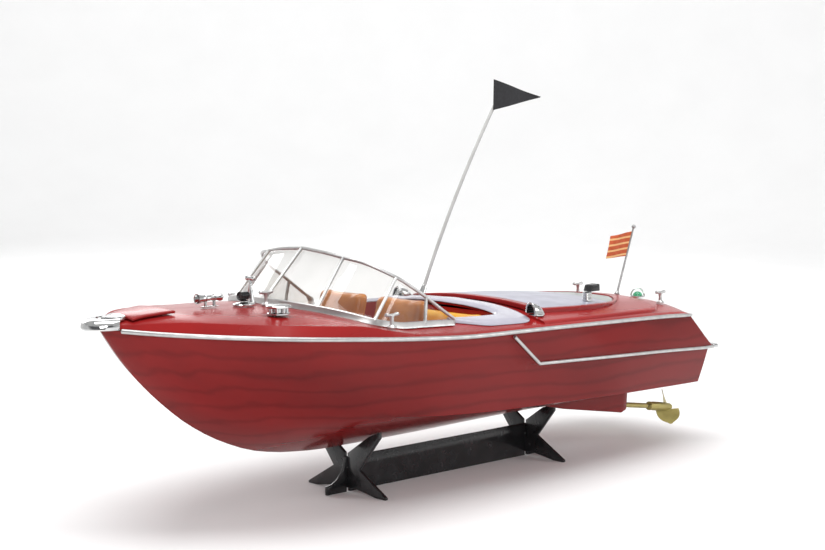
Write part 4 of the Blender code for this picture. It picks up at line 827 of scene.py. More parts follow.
def cockpit_outline(inset):
    """The cockpit opening in plan, with rounded corners, drawn in by an inset."""
    aft, fore, half = COCKPIT
    radius = 0.012
    corners = ((fore - inset - radius, half - inset - radius, 0),
               (aft + inset + radius, half - inset - radius, 90),
               (aft + inset + radius, -(half - inset - radius), 180),
               (fore - inset - radius, -(half - inset - radius), 270))
    outline = []
    for x, y, start in corners:
        for k in range(10):
            a = math.radians(start + 10 * k)
            outline.append((x + radius * math.cos(a), y + radius * math.sin(a)))
    return outline


def cockpit_prism(name, low, high):
    """A prism over the cockpit's plan."""
    return plate(name, cockpit_outline(0.0), high - low,
                 Matrix.Translation((0, 0, (low + high) / 2)))


def make_tub():
    """The cockpit tub: floor and walls inside the deck opening, open at the top."""
    bm = bmesh.new()
    rings = []
    wall = 0.0015
    for inset, height in ((GAP, None), (GAP, FLOOR_Z - wall), (GAP + wall, FLOOR_Z),
                          (GAP + wall, None)):
        rings.append([bm.verts.new((x, y, height or deck_z(x, y) + 0.0002))
                      for x, y in cockpit_outline(inset)])
    join_rings(bm, rings[:2])
    join_rings(bm, rings[2:] + rings[:1])
    bm.faces.new(rings[1])
    bm.faces.new(rings[2])
    show(finish_mesh("cockpit_tub_skin", bm), "deck_red", "boat", "cockpit_tub")


# ---------------------------------------------------------------- rails and trim
def make_rub_rail(name, side):
    """The bright rail along the joint of hull and deck, a little thinner at its ends."""
    path = []
    for k in range(101):
        x = -0.276 + (BOW_X - 0.0095 + 0.276) * math.sin(math.pi / 2 * k / 100)
        ahead = 0.001
        lean = (half_beam(x + ahead) - half_beam(x - ahead)) / (2 * ahead)
        out = Vector((-lean, 1.0)).normalized() * (RAIL_RADIUS + 2 * GAP)
        path.append((x + out.x, side * (half_beam(x) + out.y), sheer_z(x) + 0.0004))
    radii = [RAIL_RADIUS * min(1.0, 0.8 + 0.1 * min(k, 100 - k)) for k in range(101)]
    rail = sweep(name + "_bar", path, radii, sides=16)
    show(rail, "satin", "boat", name)


def panel_y(x, z):
    """Half breadth of the raised side panel, at or above the lower moulding."""
    _, _, chine, _, rail = hull_section(x)
    share = (z - chine[1]) / (rail[1] - chine[1])
    split = moulding_share(x)
    return side_y(x, z) + PANEL_STEP * max(1 - share, 0.0) / (1 - split)


def moulding_z(x):
    """Height of the lower moulding's line on the side."""
    _, _, chine, _, rail = hull_section(x)
    return float(chine[1] + moulding_share(x) * (rail[1] - chine[1]))


def make_side_moulding(name, side):
    """The lower moulding: down from the rub rail at a slant, then aft to the stern."""
    path = []
    top = Vector((PANEL_EDGE[2], sheer_z(PANEL_EDGE[2])))
    corner = Vector((PANEL_EDGE[1], moulding_z(PANEL_EDGE[1])))
    out = MOULDING_RADIUS + 2 * GAP
    for k in range(19):
        spot = top.lerp(corner, 0.12 + 0.88 * k / 18)
        path.append((spot.x, side * (panel_y(spot.x, spot.y) + out), spot.y))
    for k in range(1, 41):
        x = PANEL_EDGE[1] + (-0.312 - PANEL_EDGE[1]) * k / 40
        z = moulding_z(max(x, -0.303))
        path.append((x, side * (panel_y(max(x, -0.303), z) + out), z))
    show(sweep(name + "_bar", path, MOULDING_RADIUS, sides=14), "satin", "boat", name)


def make_bow_fittings():
    """The nose cap, the mooring plate, and the raised plank behind it."""
    base = 0.1618
    cap = []
    for k in range(33):
        a = math.pi * k / 32 - math.pi / 2
        nose = Vector((0.3055 + 0.0195 * math.cos(a), 0.0165 * math.sin(a)))
        heel = Vector((0.3005 + 0.0125 * math.cos(a), 0.0105 * math.sin(a)))
        row = []
        for j in range(9):
            t = j / 8
            x, y = heel + (nose - heel) * math.sin(math.pi / 2 * t)
            z = base + 0.0016 - 0.0066 * t ** 2.6
            row.append(((x, y, z), (x - 0.0006 * t, y * (1 - 0.03 * t), z - 0.0011)))
        cap.append(row)
    show(slab("bow_cap_shell", cap), "chrome", "boat", "bow_cap")
    edge = []
    for k in range(13):
        t = k / 12
        half = 0.0095 * math.sin(math.pi / 2 * min(t * 1.25, 1.0))
        edge.append((0.3095 - 0.014 * t, max(half, 0.0012)))
    mooring = deck_patch("bow_plate_shell", edge, 0.0012, 0.0042)
    show(bevelled(mooring, 0.0006, 3), "chrome", "boat", "bow_plate")
    edge = [(0.2945 - 0.0335 * k / 10, 0.0165 + 0.0065 * k / 10) for k in range(11)]
    plank = deck_patch("bow_plank_shell", edge, 0.0012, 0.0032)
    show(bevelled(plank, 0.0007, 3), "deck_red", "boat", "bow_plank")


def deck_patch(name, edge, low, high):
    """A piece that lies on the deck between two heights, from its port edge in plan."""
    rows = []
    for x, half in edge:
        row = []
        for k in range(13):
            y = half * (k / 6 - 1)
            z = deck_z(min(x, 0.309), y)
            row.append(((x, y, z + high), (x, y, z + low)))
        rows.append(row)
    return slab(name, rows)


def deck_band(one, two, steps, under):
    """A row across the deck from one spot in plan to another, for a slab.

    steps holds (share of the way, height) and under is the height of the lower face.
    """
    row = []
    for share, rise in steps:
        x, y = one[0] + (two[0] - one[0]) * share, one[1] + (two[1] - one[1]) * share
        z = deck_z(x, y)
        row.append(((x, y, z + rise), (x, y, z + under)))
    return row


def mirrored_pairs(pairs):
    """Matching spots of two edges over both sides, from their port halves."""
    return pairs + [((x1, -y1), (x2, -y2)) for (x1, y1), (x2, y2) in reversed(pairs[:-1])]


# ---------------------------------------------------------------- windscreen
def make_windscreen():
    """The bright frame with its posts, and the clear screen just inside it."""
    steps = 8
    base, top = [both_sides(line) for line in screen_lines(steps)]
    last = len(base) - 1
    strip = []
    for k, p in enumerate(base):
        run = base[min(k + 1, last)] - base[max(k - 1, 0)]
        out = Vector((run.y, -run.x, 0.0)).normalized()
        if out.dot(Vector((p.x - 0.08, p.y, 0.0))) < 0:
            out = -out
        corners = ((0.0005, 0.0016, 0.0011), (0.0017, 0.0012, 0.0011),
                   (0.0046, 0.001, 0.0011), (0.0052, 0.0004, 0.0006))
        strip.append([(above(p, rise) + out * face, above(p, rise) - out * back)
                      for rise, face, back in corners])
    pieces = [slab("strip", strip), sweep("screen_top", top, 0.0014, sides=14)]
    middle = len(base) // 2
    posts = {middle + steps * side * post for post in SCREEN_POSTS for _, side in SIDES}
    for k in sorted(posts):
        foot = above(base[k], 0.003)
        lean = top[k] - foot
        reach = lean.length
        pieces.append(lathe("post", foot, lean, [(0, 0.0017), (0.003, 0.0016), (0.0036, 0.0013),
                                                 (reach - 0.003, 0.0013), (reach, 0.0014)], 16))
    for k in (0, last):
        foot = above(base[k], 0.0008)
        lean = above(top[k], 0.0006) - foot
        pieces.append(lathe("end", foot, lean, [(0, 0.0014), (lean.length, 0.0013)], 16))
    show(merged("windscreen_frame_bars", pieces), "satin", "boat", "windscreen_frame")

    skin_in, depth = 0.0021, 0.001
    pane = []
    for k in range(1, last):
        normal = (top[k] - base[k]).cross(top[k + 1] - top[k - 1]).normalized()
        if normal.dot(Vector((base[k].x - 0.04, base[k].y, 0.05))) < 0:
            normal = -normal
        low = above(base[k], 0.0007)
        row = []
        for j in range(9):
            spot = low + (top[k] - low) * j / 8
            row.append((spot - normal * skin_in, spot - normal * (skin_in + depth)))
        for spot in row[0]:
            spot.z = max(spot.z, deck_z(spot.x, spot.y) + GAP)
        pane.append(row)
    show(slab("windscreen_glass_pane", pane), "clear", "boat", "windscreen_glass")


# ---------------------------------------------------------------- engine hatch
HATCH_CROWN = 0.77        # the hatch's crown as a share of the deck's
RIM_RISE = 0.0006         # the hatch's rim over its frame height
RECESS = 0.0013           # depth of the pads' recess under that height
PAD_EDGE = ((0.0, 0.0), (0.0006, 0.55), (0.0014, 0.83), (0.0026, 0.96), (0.0045, 1.0))


def inset_spots(half, insets, inner):
    """Positions across a width: close to each edge at the insets, then evenly between."""
    last = min(insets[-1], 0.45 * half)
    near = [half - min(inset, 0.45 * half * (k + 1) / len(insets))
            for k, inset in enumerate(insets)]
    middle = [(half - last) * (1 - 2 * k / (inner + 1)) for k in range(1, inner + 1)]
    return near + middle + [-y for y in reversed(near)]


def make_hatch():
    """The engine hatch with a raised rim round a shallow recess for the pads."""
    aft, fore = HATCH
    insets = (0.0, 0.0007, 0.0031, 0.0037)
    count = 60
    span = aft + 0.0015 - fore
    xs = [fore, fore - 0.0007, fore - 0.0088, fore - 0.0094]
    xs += [fore - 0.012 + (span + 0.012) * math.sin(math.pi / 2 * k / count)
           for k in range(count + 1)]
    rows = []
    for i, x in enumerate(xs):
        spots = inset_spots(hatch_half(x), insets, 17)
        row = []
        for j, y in enumerate(spots):
            side = min(j, len(spots) - 1 - j)
            drop = 0.0008 if i == 0 or side == 0 else 0.0
            if i > 2 and side > 2 and x > aft + 0.006:
                drop = RIM_RISE + RECESS
            row.append(((x, y, hatch_top(x, y) + RIM_RISE - drop),
                        (x, y, deck_z(x, y) + 0.001)))
        rows.append(row)
    show(slab("engine_hatch_lid", rows), "deck_red", "hatch", "engine_hatch")
    make_pad("sun_pad_front", -0.0823, -0.1885, 0.0003, "pad")
    make_pad("sun_pad_aft", -0.19, -0.2285, 0.0, "pad_aft")


def make_pad(name, fore, aft, rise, look):
    """A low padded panel in the hatch's recess, rolled over at its edges."""
    insets = [inset for inset, _ in PAD_EDGE]
    heights = [height for _, height in PAD_EDGE]
    count = 40
    near = [fore - inset for inset in insets]
    far = [aft + inset for inset in reversed(insets)]
    between = [near[-1] + (far[0] - near[-1]) * k / count for k in range(1, count)]
    xs = near + between + far
    rows = []
    for i, x in enumerate(xs):
        end = min(i, len(xs) - 1 - i)
        along = heights[end] if end < len(heights) else 1.0
        spots = inset_spots(max(hatch_half(x) - 0.0042, 0.0016), insets, 15)
        row = []
        for j, y in enumerate(spots):
            side = min(j, len(spots) - 1 - j)
            across = heights[side] if side < len(heights) else 1.0
            floor = hatch_top(x, y) - RECESS + 0.0002
            top = floor + 0.0003 + (rise + RECESS - 0.0005) * min(along, across)
            row.append(((x, y, top), (x, y, floor)))
        rows.append(row)
    show(slab(name + "_panel", rows, 60), look, "hatch", name)


# ---------------------------------------------------------------- cockpit
def make_coaming():
    """The pale padded coaming round the aft end of the cockpit, a U in plan."""
    fore, aft, half = 0.033, COCKPIT[0], COCKPIT[2]
    bend_x = -0.002
    pairs = []
    for k in range(14):
        x = fore - 0.035 * k / 14
        width = 0.004 + 0.0175 * smoothstep(fore + 0.01, bend_x, x)
        pairs.append(((x, half + 0.0015), (x, half + width)))
    for k in range(31):
        a = math.pi / 2 * k / 30
        sine, cosine = math.sin(a) ** 0.32, max(math.cos(a), 0.0) ** 0.32
        pairs.append(((bend_x + (aft + 0.0035) * sine, (half + 0.0015) * cosine),
                      (bend_x - 0.0575 * sine, (half + 0.0215) * cosine)))
    steps = []
    for k in range(13):
        t = 0.5 - 0.5 * math.cos(math.pi * k / 12)
        steps.append((t, 0.0012 + 0.0028 * (1 - abs(2 * t - 1) ** 5) - 0.0008 * t))
    rows = [deck_band(one, two, steps, 0.0008) for one, two in mirrored_pairs(pairs)]
    show(slab("cockpit_coaming_pad", rows, 60), "white", "boat", "cockpit_coaming")


CLOTH_SCALE = 10.0        # cushions are blown up ten times full size, where cloth behaves


def cushion(name, low, high, corner, lean=0.0, taper=0.0):
    """A stuffed pad: a rounded block, blown up as cloth and brought back to size.

    lean shifts its top aft or forward; taper draws its top in at both sides.
    """
    bm = bmesh.new()
    bmesh.ops.create_cube(bm, size=1.0)
    low, high = Vector(low) * CLOTH_SCALE, Vector(high) * CLOTH_SCALE
    middle, size = (low + high) / 2, high - low
    bmesh.ops.subdivide_edges(bm, edges=bm.edges[:], cuts=3, use_grid_fill=True)
    for v in bm.verts:
        up = v.co.z + 0.5
        v.co = Vector((v.co.x * size.x + lean * CLOTH_SCALE * up,
                       v.co.y * size.y * (1 - taper * up), v.co.z * size.z)) + middle
    bmesh.ops.bevel(bm, geom=[e for e in bm.edges if e.calc_face_angle(0) > 0.5],
                    offset=corner * CLOTH_SCALE, segments=3, profile=0.6, affect="EDGES")
    item = finish_mesh(name, bm, 60)
    step = item.modifiers.new("remesh", "REMESH")
    step.mode = "VOXEL"
    step.voxel_size = 0.017
    apply_modifiers(item, 60)
    puff(item)
    step = item.modifiers.new("smooth", "CORRECTIVE_SMOOTH")
    step.use_only_smooth = True
    step.iterations = 3
    round_off = item.modifiers.new("subdivide", "SUBSURF")
    round_off.levels = 1
    round_off.render_levels = 1
    apply_modifiers(item, 60)
    item.data.transform(Matrix.Scale(1 / CLOTH_SCALE, 4))
    return item


def puff(item, pressure=4.0, limit=0.012):
    """Blow the block up as cloth for a few frames, and cap how far each point goes."""
    start = [v.co.copy() for v in item.data.vertices]
    step = item.modifiers.new("cloth", "CLOTH")
    step.settings.use_pressure = True
    step.settings.uniform_pressure_force = pressure
    step.settings.effector_weights.gravity = 0.0
    step.settings.quality = 6
    for number in range(1, 21):
        bpy.context.scene.frame_set(number)
    apply_modifiers(item, 60)
    bpy.context.scene.frame_set(1)
    for v, was in zip(item.data.vertices, start):
        moved = v.co - was
        if moved.length > limit:
            v.co = was + moved.normalized() * limit


def make_seats():
    """Two front seats, each a cushion, a back and a low moulded foot, and the rear bench."""
    for prefix, side in SIDES:
        y0, y1 = sorted((side * 0.0072, side * 0.0628))
        back = cushion(prefix + "_seat_back", (0.0482, y0, 0.1215), (0.0592, y1, 0.1597),
                       0.0042, lean=-0.0085, taper=0.04)
        show(back, "tan", "boat", prefix + "_seat")
        base = cushion(prefix + "_seat_cushion", (0.0435, y0, 0.107), (0.0895, y1, 0.1202), 0.0045)
        show(base, "tan", "boat", prefix + "_seat")
        foot = box(prefix + "_seat_foot", (0.045, y0 + 0.003, 0.1016),
                   (0.087, y1 - 0.003, 0.108), 0.0012)
        show(foot, "tan", "boat", prefix + "_seat")
    show(cushion("rear_bench_cushion", (-0.0292, -0.0556, 0.1085), (0.0048, 0.0556, 0.1207),
                 0.0045), "yellow", "boat", "rear_bench")
    show(cushion("rear_bench_back", (-0.0296, -0.0556, 0.116), (-0.0208, 0.0556, 0.1418),
                 0.0032), "yellow", "boat", "rear_bench")
    show(box("rear_bench_box", (-0.029, -0.0555, 0.1004), (0.0035, 0.0555, 0.112), 0.0012),
         "yellow", "boat", "rear_bench")


def make_helm():
    """The dashboard and the steering wheel."""
    softened("dashboard", 0.0012, "deck_red", "boat")
    axis = Vector((-0.9, 0.0, 0.436)).normalized()
    turn = axis.to_track_quat("Z", "Y").to_matrix()
    rim = WHEEL_HUB + axis * 0.0055
    pieces = [torus("rim", rim, axis, WHEEL_RADIUS, 0.0011),
              lathe("boss", WHEEL_HUB - axis * 0.0035, axis,
                    [(0, 0.0016), (0.006, 0.0016), (0.0075, 0.0027), (0.0098, 0.0027),
                     (0.0106, 0.0018)])]
    for k in range(3):
        a = math.radians(90 + 120 * k)
        spot = rim + turn @ Vector((math.cos(a), math.sin(a), 0)) * WHEEL_RADIUS
        pieces.append(sweep("spoke", [rim.lerp(spot, j / 6) for j in range(7)],
                            [0.0011, 0.001, 0.0009, 0.0008, 0.0008, 0.0009, 0.001], 10, 0.6))
    show(merged("steering_wheel_ring", pieces), "white", "wheel", "steering_wheel")


# ---------------------------------------------------------------- deck fittings
def make_tier():
    """The broad low tier of the deck that frames the engine hatch, a U in plan."""
    line = smooth_line(TIER_HALF)
    fore, inner_tip, outer_tip, corner = -0.058, HATCH[0] - 0.0004, -0.257, -0.215
    count = 60
    pairs = []
    for k in range(count + 1):
        share = math.sin(math.pi / 2 * k / count)
        x1 = fore + (inner_tip - fore) * share
        x2 = fore + (outer_tip - fore) * share
        turn = min(max((corner - x2) / (corner - outer_tip), 0.0), 1.0)
        pairs.append(((x1, hatch_half(x1) + 0.0004 if k < count else 0.0),
                      (x2, line(x2) * math.sqrt(1 - turn ** 3))))
    rows = []
    for one, two in mirrored_pairs(pairs):
        width = math.hypot(two[0] - one[0], two[1] - one[1])
        steps = [(inset / width, rise) for inset, rise in TIER_EDGE]
        share, rise = steps[-1]
        steps += [(share + (1 - share) * j / 6, rise) for j in range(1, 7)]
        rows.append(deck_band(two, one, steps, -0.0006))
    show(slab("deck_tier", rows, 40), "deck_red", "boat", "deck_shell")


def make_cleat(name, x, y):
    """A T-shaped mooring cleat: a stepped round foot, a slim stem and a flared bar."""
    foot = on_deck(x, y, 0.0036)
    height = 0.0096
    post = lathe("stem", foot, UP, [(0, 0.0036), (0.0008, 0.0036), (0.0012, 0.0031),
                                    (0.0018, 0.0024), (0.0026, 0.0017), (0.006, 0.0014),
                                    (0.008, 0.0018), (height, 0.0021)], 24)
    bar, radii = [], []
    for k in range(17):
        t = 2 * k / 16 - 1
        bar.append(foot + Vector((0.0064 * t, 0, height + 0.0008 * t * t)))
        radii.append(0.0015 + 0.0006 * t * t - (0.0008 if abs(t) == 1 else 0.0))
    show(merged(name + "_body", [post, sweep("bar", bar, radii, 14, 0.75)]), "satin", "boat",
         name)


def make_scoop(name, side):
    """An engine-room air scoop: a thin cowl that faces forward, with near-black slats in its mouth
    as painted shade.
    """
    x, y = SCOOP[0], side * SCOOP[1]
    lift = TIER_EDGE[-1][1]
    foot = Vector((x, y, deck_z(x, y) + lift - 0.0009))
    half, length, height, lip_rise, wall = 0.0052, 0.013, 0.0088, 0.0012, 0.0009
    rows = []
    for i in range(15):
        t = i / 14
        along = x + length / 2 - length * t
        swell = math.sqrt(max(1 - (t * 0.96) ** 2.2, 0.0))
        wide = half * (0.6 + 0.4 * swell)
        row = []
        for j in range(21):
            a = math.pi * j / 20
            spot_y = y + wide * math.cos(a)
            base = deck_z(along, spot_y) + lift
            rise = lip_rise + height * swell * math.sin(a) ** 0.8
            row.append(((along, spot_y, base + rise),
                        (along + 0.0002, y + (wide - wall) * math.cos(a),
                         base + max(rise - wall, 0.0003))))
        rows.append(row)
    flange = lathe("flange", above(foot, 0.0008), UP,
                   [(0, 1.0), (0.0007, 1.0), (0.0011, 0.9)], 40, (0.0062, 0.0071))
    lip = [outer for outer, _ in rows[0]]
    pieces = [slab("cowl", rows, 50), sweep("lip", lip, 0.0007, 10), flange]
    show(merged(name + "_cowl", pieces), "chrome", "boat", name)
    # The slats are near-black: painted shade where the inside of the vent lies in shadow.
    slats = []
    for k in range(4):
        z = foot.z + 0.003 + 0.0016 * k
        reach = half * 0.8 * math.sqrt(max(1 - ((z - foot.z - 0.001) / 0.0098) ** 2, 0.05))
        slats.append(box("slat", (x - 0.001, y - reach, z), (x + 0.0056, y + reach, z + 0.0006)))
    show(merged(name + "_slats", slats), "vent_painted_shade", "boat", name)


def make_horn():
    """A trumpet horn on a low saddle, mouth forward, hollow at its bell."""
    foot = on_deck(*HORN, 0.0075)
    centre = above(foot, 0.0068)
    start = centre + Vector((-0.0138, 0, 0))
    profile = [(0, 0.0008), (0.0006, 0.002), (0.0016, 0.0028), (0.0028, 0.003), (0.004, 0.0027),
               (0.005, 0.0021), (0.014, 0.0021), (0.0175, 0.0024), (0.021, 0.003),
               (0.0236, 0.0038), (0.0243, 0.004), (0.0241, 0.0036), (0.022, 0.0028),
               (0.019, 0.0019), (0.017, 0.0012)]
    pieces = [lathe("trumpet", start, (1, 0, 0), profile, 32)]
    for shift in (-0.0055, 0.0025):
        spot = foot + Vector((shift, 0, 0))
        pieces.append(lathe("leg", spot, UP, [(0, 0.0024), (0.0007, 0.0024),
                                                     (0.0011, 0.0013), (0.0052, 0.0012)], 20))
        pieces.append(torus("strap", above(spot, 0.0068), (1, 0, 0), 0.0023, 0.0005,
                            28, 8))
    pieces.append(box("foot_bar", foot + Vector((-0.0085, -0.0022, 0)),
                      foot + Vector((0.0055, 0.0022, 0.0009)), 0.0003))
    show(merged("horn_trumpet", pieces), "chrome", "boat", "horn")


def make_searchlight():
    """An oval base with a ribbed lamp that swivels on it."""
    foot = on_deck(*SEARCHLIGHT, 0.006)
    base = lathe("searchlight_base_oval", foot, UP,
                 [(0, 0.96), (0.0008, 1.0), (0.0016, 0.97), (0.0023, 0.8), (0.0028, 0.45),
                  (0.0029, 0.05)], 48, (0.0095, 0.0068))
    show(base, "chrome", "boat", "searchlight_base")
    seat = above(foot, 0.0034)
    profile = [(0, 0.0028), (0.0008, 0.0028), (0.0011, 0.002), (0.0022, 0.002)]
    pieces = [lathe("stalk", seat, UP, profile, 24)]
    drum = [(0, 0.001), (0.0002, 0.0026)]
    for k in range(5):
        at = 0.0004 + 0.0014 * k
        drum += [(at, 0.003), (at + 0.0008, 0.003), (at + 0.0009, 0.0026), (at + 0.0013, 0.0026)]
    drum += [(0.0076, 0.0032), (0.0084, 0.0034), (0.0084, 0.003), (0.0074, 0.0022)]
    pieces.append(lathe("drum", seat + Vector((-0.0042, 0, 0.0041)), (1, 0, 0), drum, 32))
    show(merged("searchlight_lamp_drum", pieces), "black", "searchlight", "searchlight_lamp")


def make_bow_light():
    """A small lamp bar on an A-shaped pedestal."""
    foot = on_deck(*BOW_LIGHT, 0.0044)
    head = above(foot, 0.0185)
    pieces = [lathe("disc", foot, UP, [(0, 0.0044), (0.001, 0.0044), (0.0015, 0.0038),
                                              (0.0019, 0.002)], 32)]
    for lean in (-1, 1):
        start = foot + Vector((0, lean * 0.0034, 0.0008))
        pieces.append(sweep("leg", [start.lerp(head, k / 6) for k in range(7)],
                            [0.0013, 0.0011, 0.001, 0.001, 0.001, 0.001, 0.0011], 12))
    pieces.append(lathe("stem", foot, UP, [(0, 0.0012), (0.003, 0.0009),
                                                  (0.0185, 0.0009)], 16))
    pieces.append(lathe("bar", head + Vector((0, -0.0045, 0.001)), (0, 1, 0),
                        [(0, 0.0014), (0.0003, 0.0019), (0.0016, 0.0019), (0.0018, 0.0014),
                         (0.0072, 0.0014), (0.0074, 0.0019), (0.0087, 0.0019),
                         (0.009, 0.0014)], 24))
    show(merged("bow_light_pedestal", pieces), "chrome", "boat", "bow_light")


def make_filler():
    """A round filler cap on a vented ring of short legs."""
    foot = on_deck(*FILLER, 0.0086)
    pieces = [lathe("flange", foot, UP, [(0, 0.0086), (0.0008, 0.0086), (0.0013, 0.0078),
                                         (0.0016, 0.005)], 40),
              lathe("core", foot, UP, [(0, 0.0048), (0.005, 0.0048)], 32),
              lathe("cap", above(foot, 0.0046), UP,
                    [(0, 0.0085), (0.0004, 0.0094), (0.0016, 0.0095), (0.0021, 0.009),
                     (0.0026, 0.0074), (0.0027, 0.001)], 40)]
    for k in range(8):
        a = 2 * math.pi * k / 8
        spot = foot + Vector((0.0066 * math.cos(a), 0.0066 * math.sin(a), 0.0008))
        pieces.append(lathe("leg", spot, UP, [(0, 0.0011), (0.0042, 0.0011)], 12))
    show(merged("deck_filler_cap", pieces), "chrome", "boat", "deck_filler")


def make_stern_fittings():
    """The stern light under its guard, and the lamp that stands on the pads."""
    spot = on_deck(*STERN_LIGHT, 0.0066)
    ring = [lathe("flange", spot, UP, [(0, 0.0066), (0.0008, 0.0066), (0.0014, 0.0058),
                                              (0.0015, 0.003)], 36)]
    arch = []
    for k in range(21):
        a = math.pi * k / 20
        arch.append(spot + Vector((0.0044 * math.cos(a), -0.0044 * math.cos(a),
                                   0.0008 + 0.0076 * math.sin(a))))
    ring.append(sweep("guard", arch, 0.0007, 10))
    show(merged("stern_light_guard", ring), "chrome", "boat", "stern_light")
    lens = [(0.0012, 0.0044), (0.0026, 0.0043), (0.0038, 0.0037), (0.0048, 0.0024),
            (0.0053, 0.0006)]
    show(lathe("stern_light_lens", spot, UP, lens, 36), "green", "boat", "stern_light")
    x, y = LAMP
    foot = Vector((x, y, hatch_top(x - 0.003, y - 0.003) + PAD_RISE + 2 * GAP))
    collar = [(-0.001, 0.0044), (0.0004, 0.0044)]
    for k in range(4):
        at = 0.0008 + 0.0014 * k
        collar += [(at, 0.0036), (at + 0.0003, 0.0042), (at + 0.0009, 0.0042), (at + 0.0012, 0.0036)]
    collar += [(0.0066, 0.0038)]
    show(lathe("stern_lamp_base_ribs", foot, UP, collar, 32), "chrome", "hatch",
         "stern_lamp_base")
    outline = [(-0.0092, 0.0), (0.0034, 0.0), (0.0012, 0.0056), (-0.0086, 0.0062)]
    side_view = Matrix.Translation(foot + Vector((-0.003, 0, 0.0069)))
    head = plate("stern_lamp_head_cap", outline, 0.0092,
                 side_view @ Matrix.Rotation(math.pi / 2, 4, "X"))
    show(bevelled(head, 0.0009, 3), "black", "hatch", "stern_lamp_head")


# ---------------------------------------------------------------- antenna and flags
def flag(name, hoist_low, hoist_high, fly, tip_share, look, body, node):
    """A thin waving flag, drawn in from its hoist toward the fly."""
    last_row, last_col = 40, 12
    hoist_low, hoist_high, fly = Vector(hoist_low), Vector(hoist_high), Vector(fly)
    middle = (hoist_low + hoist_high) / 2
    normal = fly.cross(hoist_high - hoist_low).normalized()
    rows = []
    for k in range(last_row + 1):
        t = k / last_row
        keep = 1 - (1 - tip_share) * t
        row = []
        for j in range(last_col + 1):
            s = j / last_col
            wave = 0.0015 * math.sin(2 * math.pi * t + 0.8 * s) * t ** 0.7
            wave += 0.0003 * math.sin(9 * t + 5 * s) * t
            spot = middle + (hoist_low.lerp(hoist_high, s) - middle) * keep + fly * t
            row.append((spot + normal * (wave + 0.0002), spot + normal * (wave - 0.0002)))
        rows.append(row)
    show(slab(name, rows, 80), look, body, node)


def make_antenna():
    """The whip with its pennant, in a socket in the deck."""
    path = [move_toward(ANTENNA_FOOT, ANTENNA_BEND, -0.0012)]
    path += [bend(ANTENNA_FOOT, ANTENNA_BEND, ANTENNA_TIP, k / 40) for k in range(41)]
    path.append(ANTENNA_TIP + (ANTENNA_TIP - ANTENNA_BEND).normalized() * 0.011)
    radii = [ANTENNA_RADIUS] * (len(path) - 1) + [0.8 * ANTENNA_RADIUS]
    show(sweep("antenna_tube_whip", path, radii, 18), "whip", "antenna", "antenna_tube")
    low = ANTENNA_TIP + Vector((0.0012, 0.0024, 0))
    high = low + Vector((-0.0006, 0.0, 0.0286))
    flag("antenna_pennant_cloth", low, high, (-0.06, 0.0036, -0.0025), 0.03, "pennant_cloth",
         "antenna", "antenna_pennant")
    softened("antenna_socket", 0.0003, "chrome", "boat")


def make_flagpole():
    """The stern flagpole, slightly tapered, with a ball on top and a striped ensign."""
    foot = pole_point(-0.008)
    reach = (POLE_TIP - POLE_FOOT).length + 0.008
    profile = [(0, 0.0009), (0.0106, 0.0009), (0.0107, 0.0024), (0.0113, 0.0026),
               (0.0135, 0.0016), (0.0137, 0.00105), (reach - 0.002, 0.00085)]
    profile += [(reach + 0.002 * math.sin(math.radians(a)), max(0.002 * math.cos(math.radians(a)),
                                                                0.0001))
                for a in (-60, -40, -20, 0, 20, 40, 60, 80)]
    show(lathe("flagpole_staff", foot, POLE_TIP - POLE_FOOT, profile, 24), "pole",
         "ensign_staff", "flagpole")
    length = (POLE_TIP - POLE_FOOT).length
    low = pole_point(length - 0.029) + Vector((0.0014, 0, 0))
    high = pole_point(length - 0.0045) + Vector((0.0014, 0, 0))
    flag("ensign_flag", low, high, (0.0264, -0.002, -0.002), 0.9, "ensign_cloth", "ensign_staff",
         "ensign")


# ---------------------------------------------------------------- drive
def make_drive(prefix, side):
    """Stern tube with its end bushes, and the propeller with its nut."""
    axis = (shaft_point(1.0, side) - shaft_point(0.0, side)).normalized()
    aft, fore = shaft_point(-0.262, side), shaft_point(-0.078, side)
    reach = (fore - aft).length
    tube = lathe(prefix + "_stern_tube_bushed", aft, axis,
                 [(0, 0.0018), (0, 0.0023), (0.0004, 0.0024), (reach - 0.0004, 0.0024),
                  (reach, 0.0023), (reach, 0.0018)], 28)
    show(tube, "brass", "boat", prefix + "_stern_tube")
    make_propeller(prefix, side, axis)


def make_propeller(prefix, side, axis):
    """A two-bladed screw: a waisted hub, a dome nut and broad pitched blades."""
    fore, aft = shaft_point(-0.2655, side), shaft_point(-0.299, side)
    reach = (fore - aft).length
    profile = [(0.0, 0.0012), (0.0006, 0.0022), (0.0018, 0.0028), (0.0032, 0.003),
               (0.0034, 0.0034), (reach * 0.5, 0.0041), (reach - 0.006, 0.0042),
               (reach - 0.003, 0.0036), (reach - 0.0028, 0.0041), (reach - 0.0004, 0.0041),
               (reach, 0.0036)]
    pieces = [lathe("hub", aft, axis, profile, 32)]
    centre = fore.lerp(aft, 0.8)
    for way in (1, -1):
        out = Vector((0, side * way * 0.35, -way * 0.94)).normalized()
        turning = side * axis.cross(out).normalized()
        blade = []
        for i in range(13):
            t = i / 12
            radius = 0.0026 + 0.0142 * t
            pitch = math.radians(62 - 12 * t)
            chord = (turning * math.cos(pitch) - axis * math.sin(pitch)).normalized()
            face = out.cross(chord).normalized()
            wide = 0.0118 * math.sqrt(max(1 - (0.97 * t) ** 2.4, 0.0))
            row = []
            for j in range(9):
                s = j / 4 - 1
                thick = 0.0006 * (1 - s * s) ** 0.5 * (1.3 - t) + 0.00012
                spot = centre + out * (radius - 0.002 * s * s * t) + chord * wide * s
                row.append((spot + face * thick, spot - face * thick))
            blade.append(row)
        pieces.append(slab("blade", blade, 60))
    show(merged(prefix + "_propeller_screw", pieces), "brass", prefix + "_shaft",
         prefix + "_propeller")


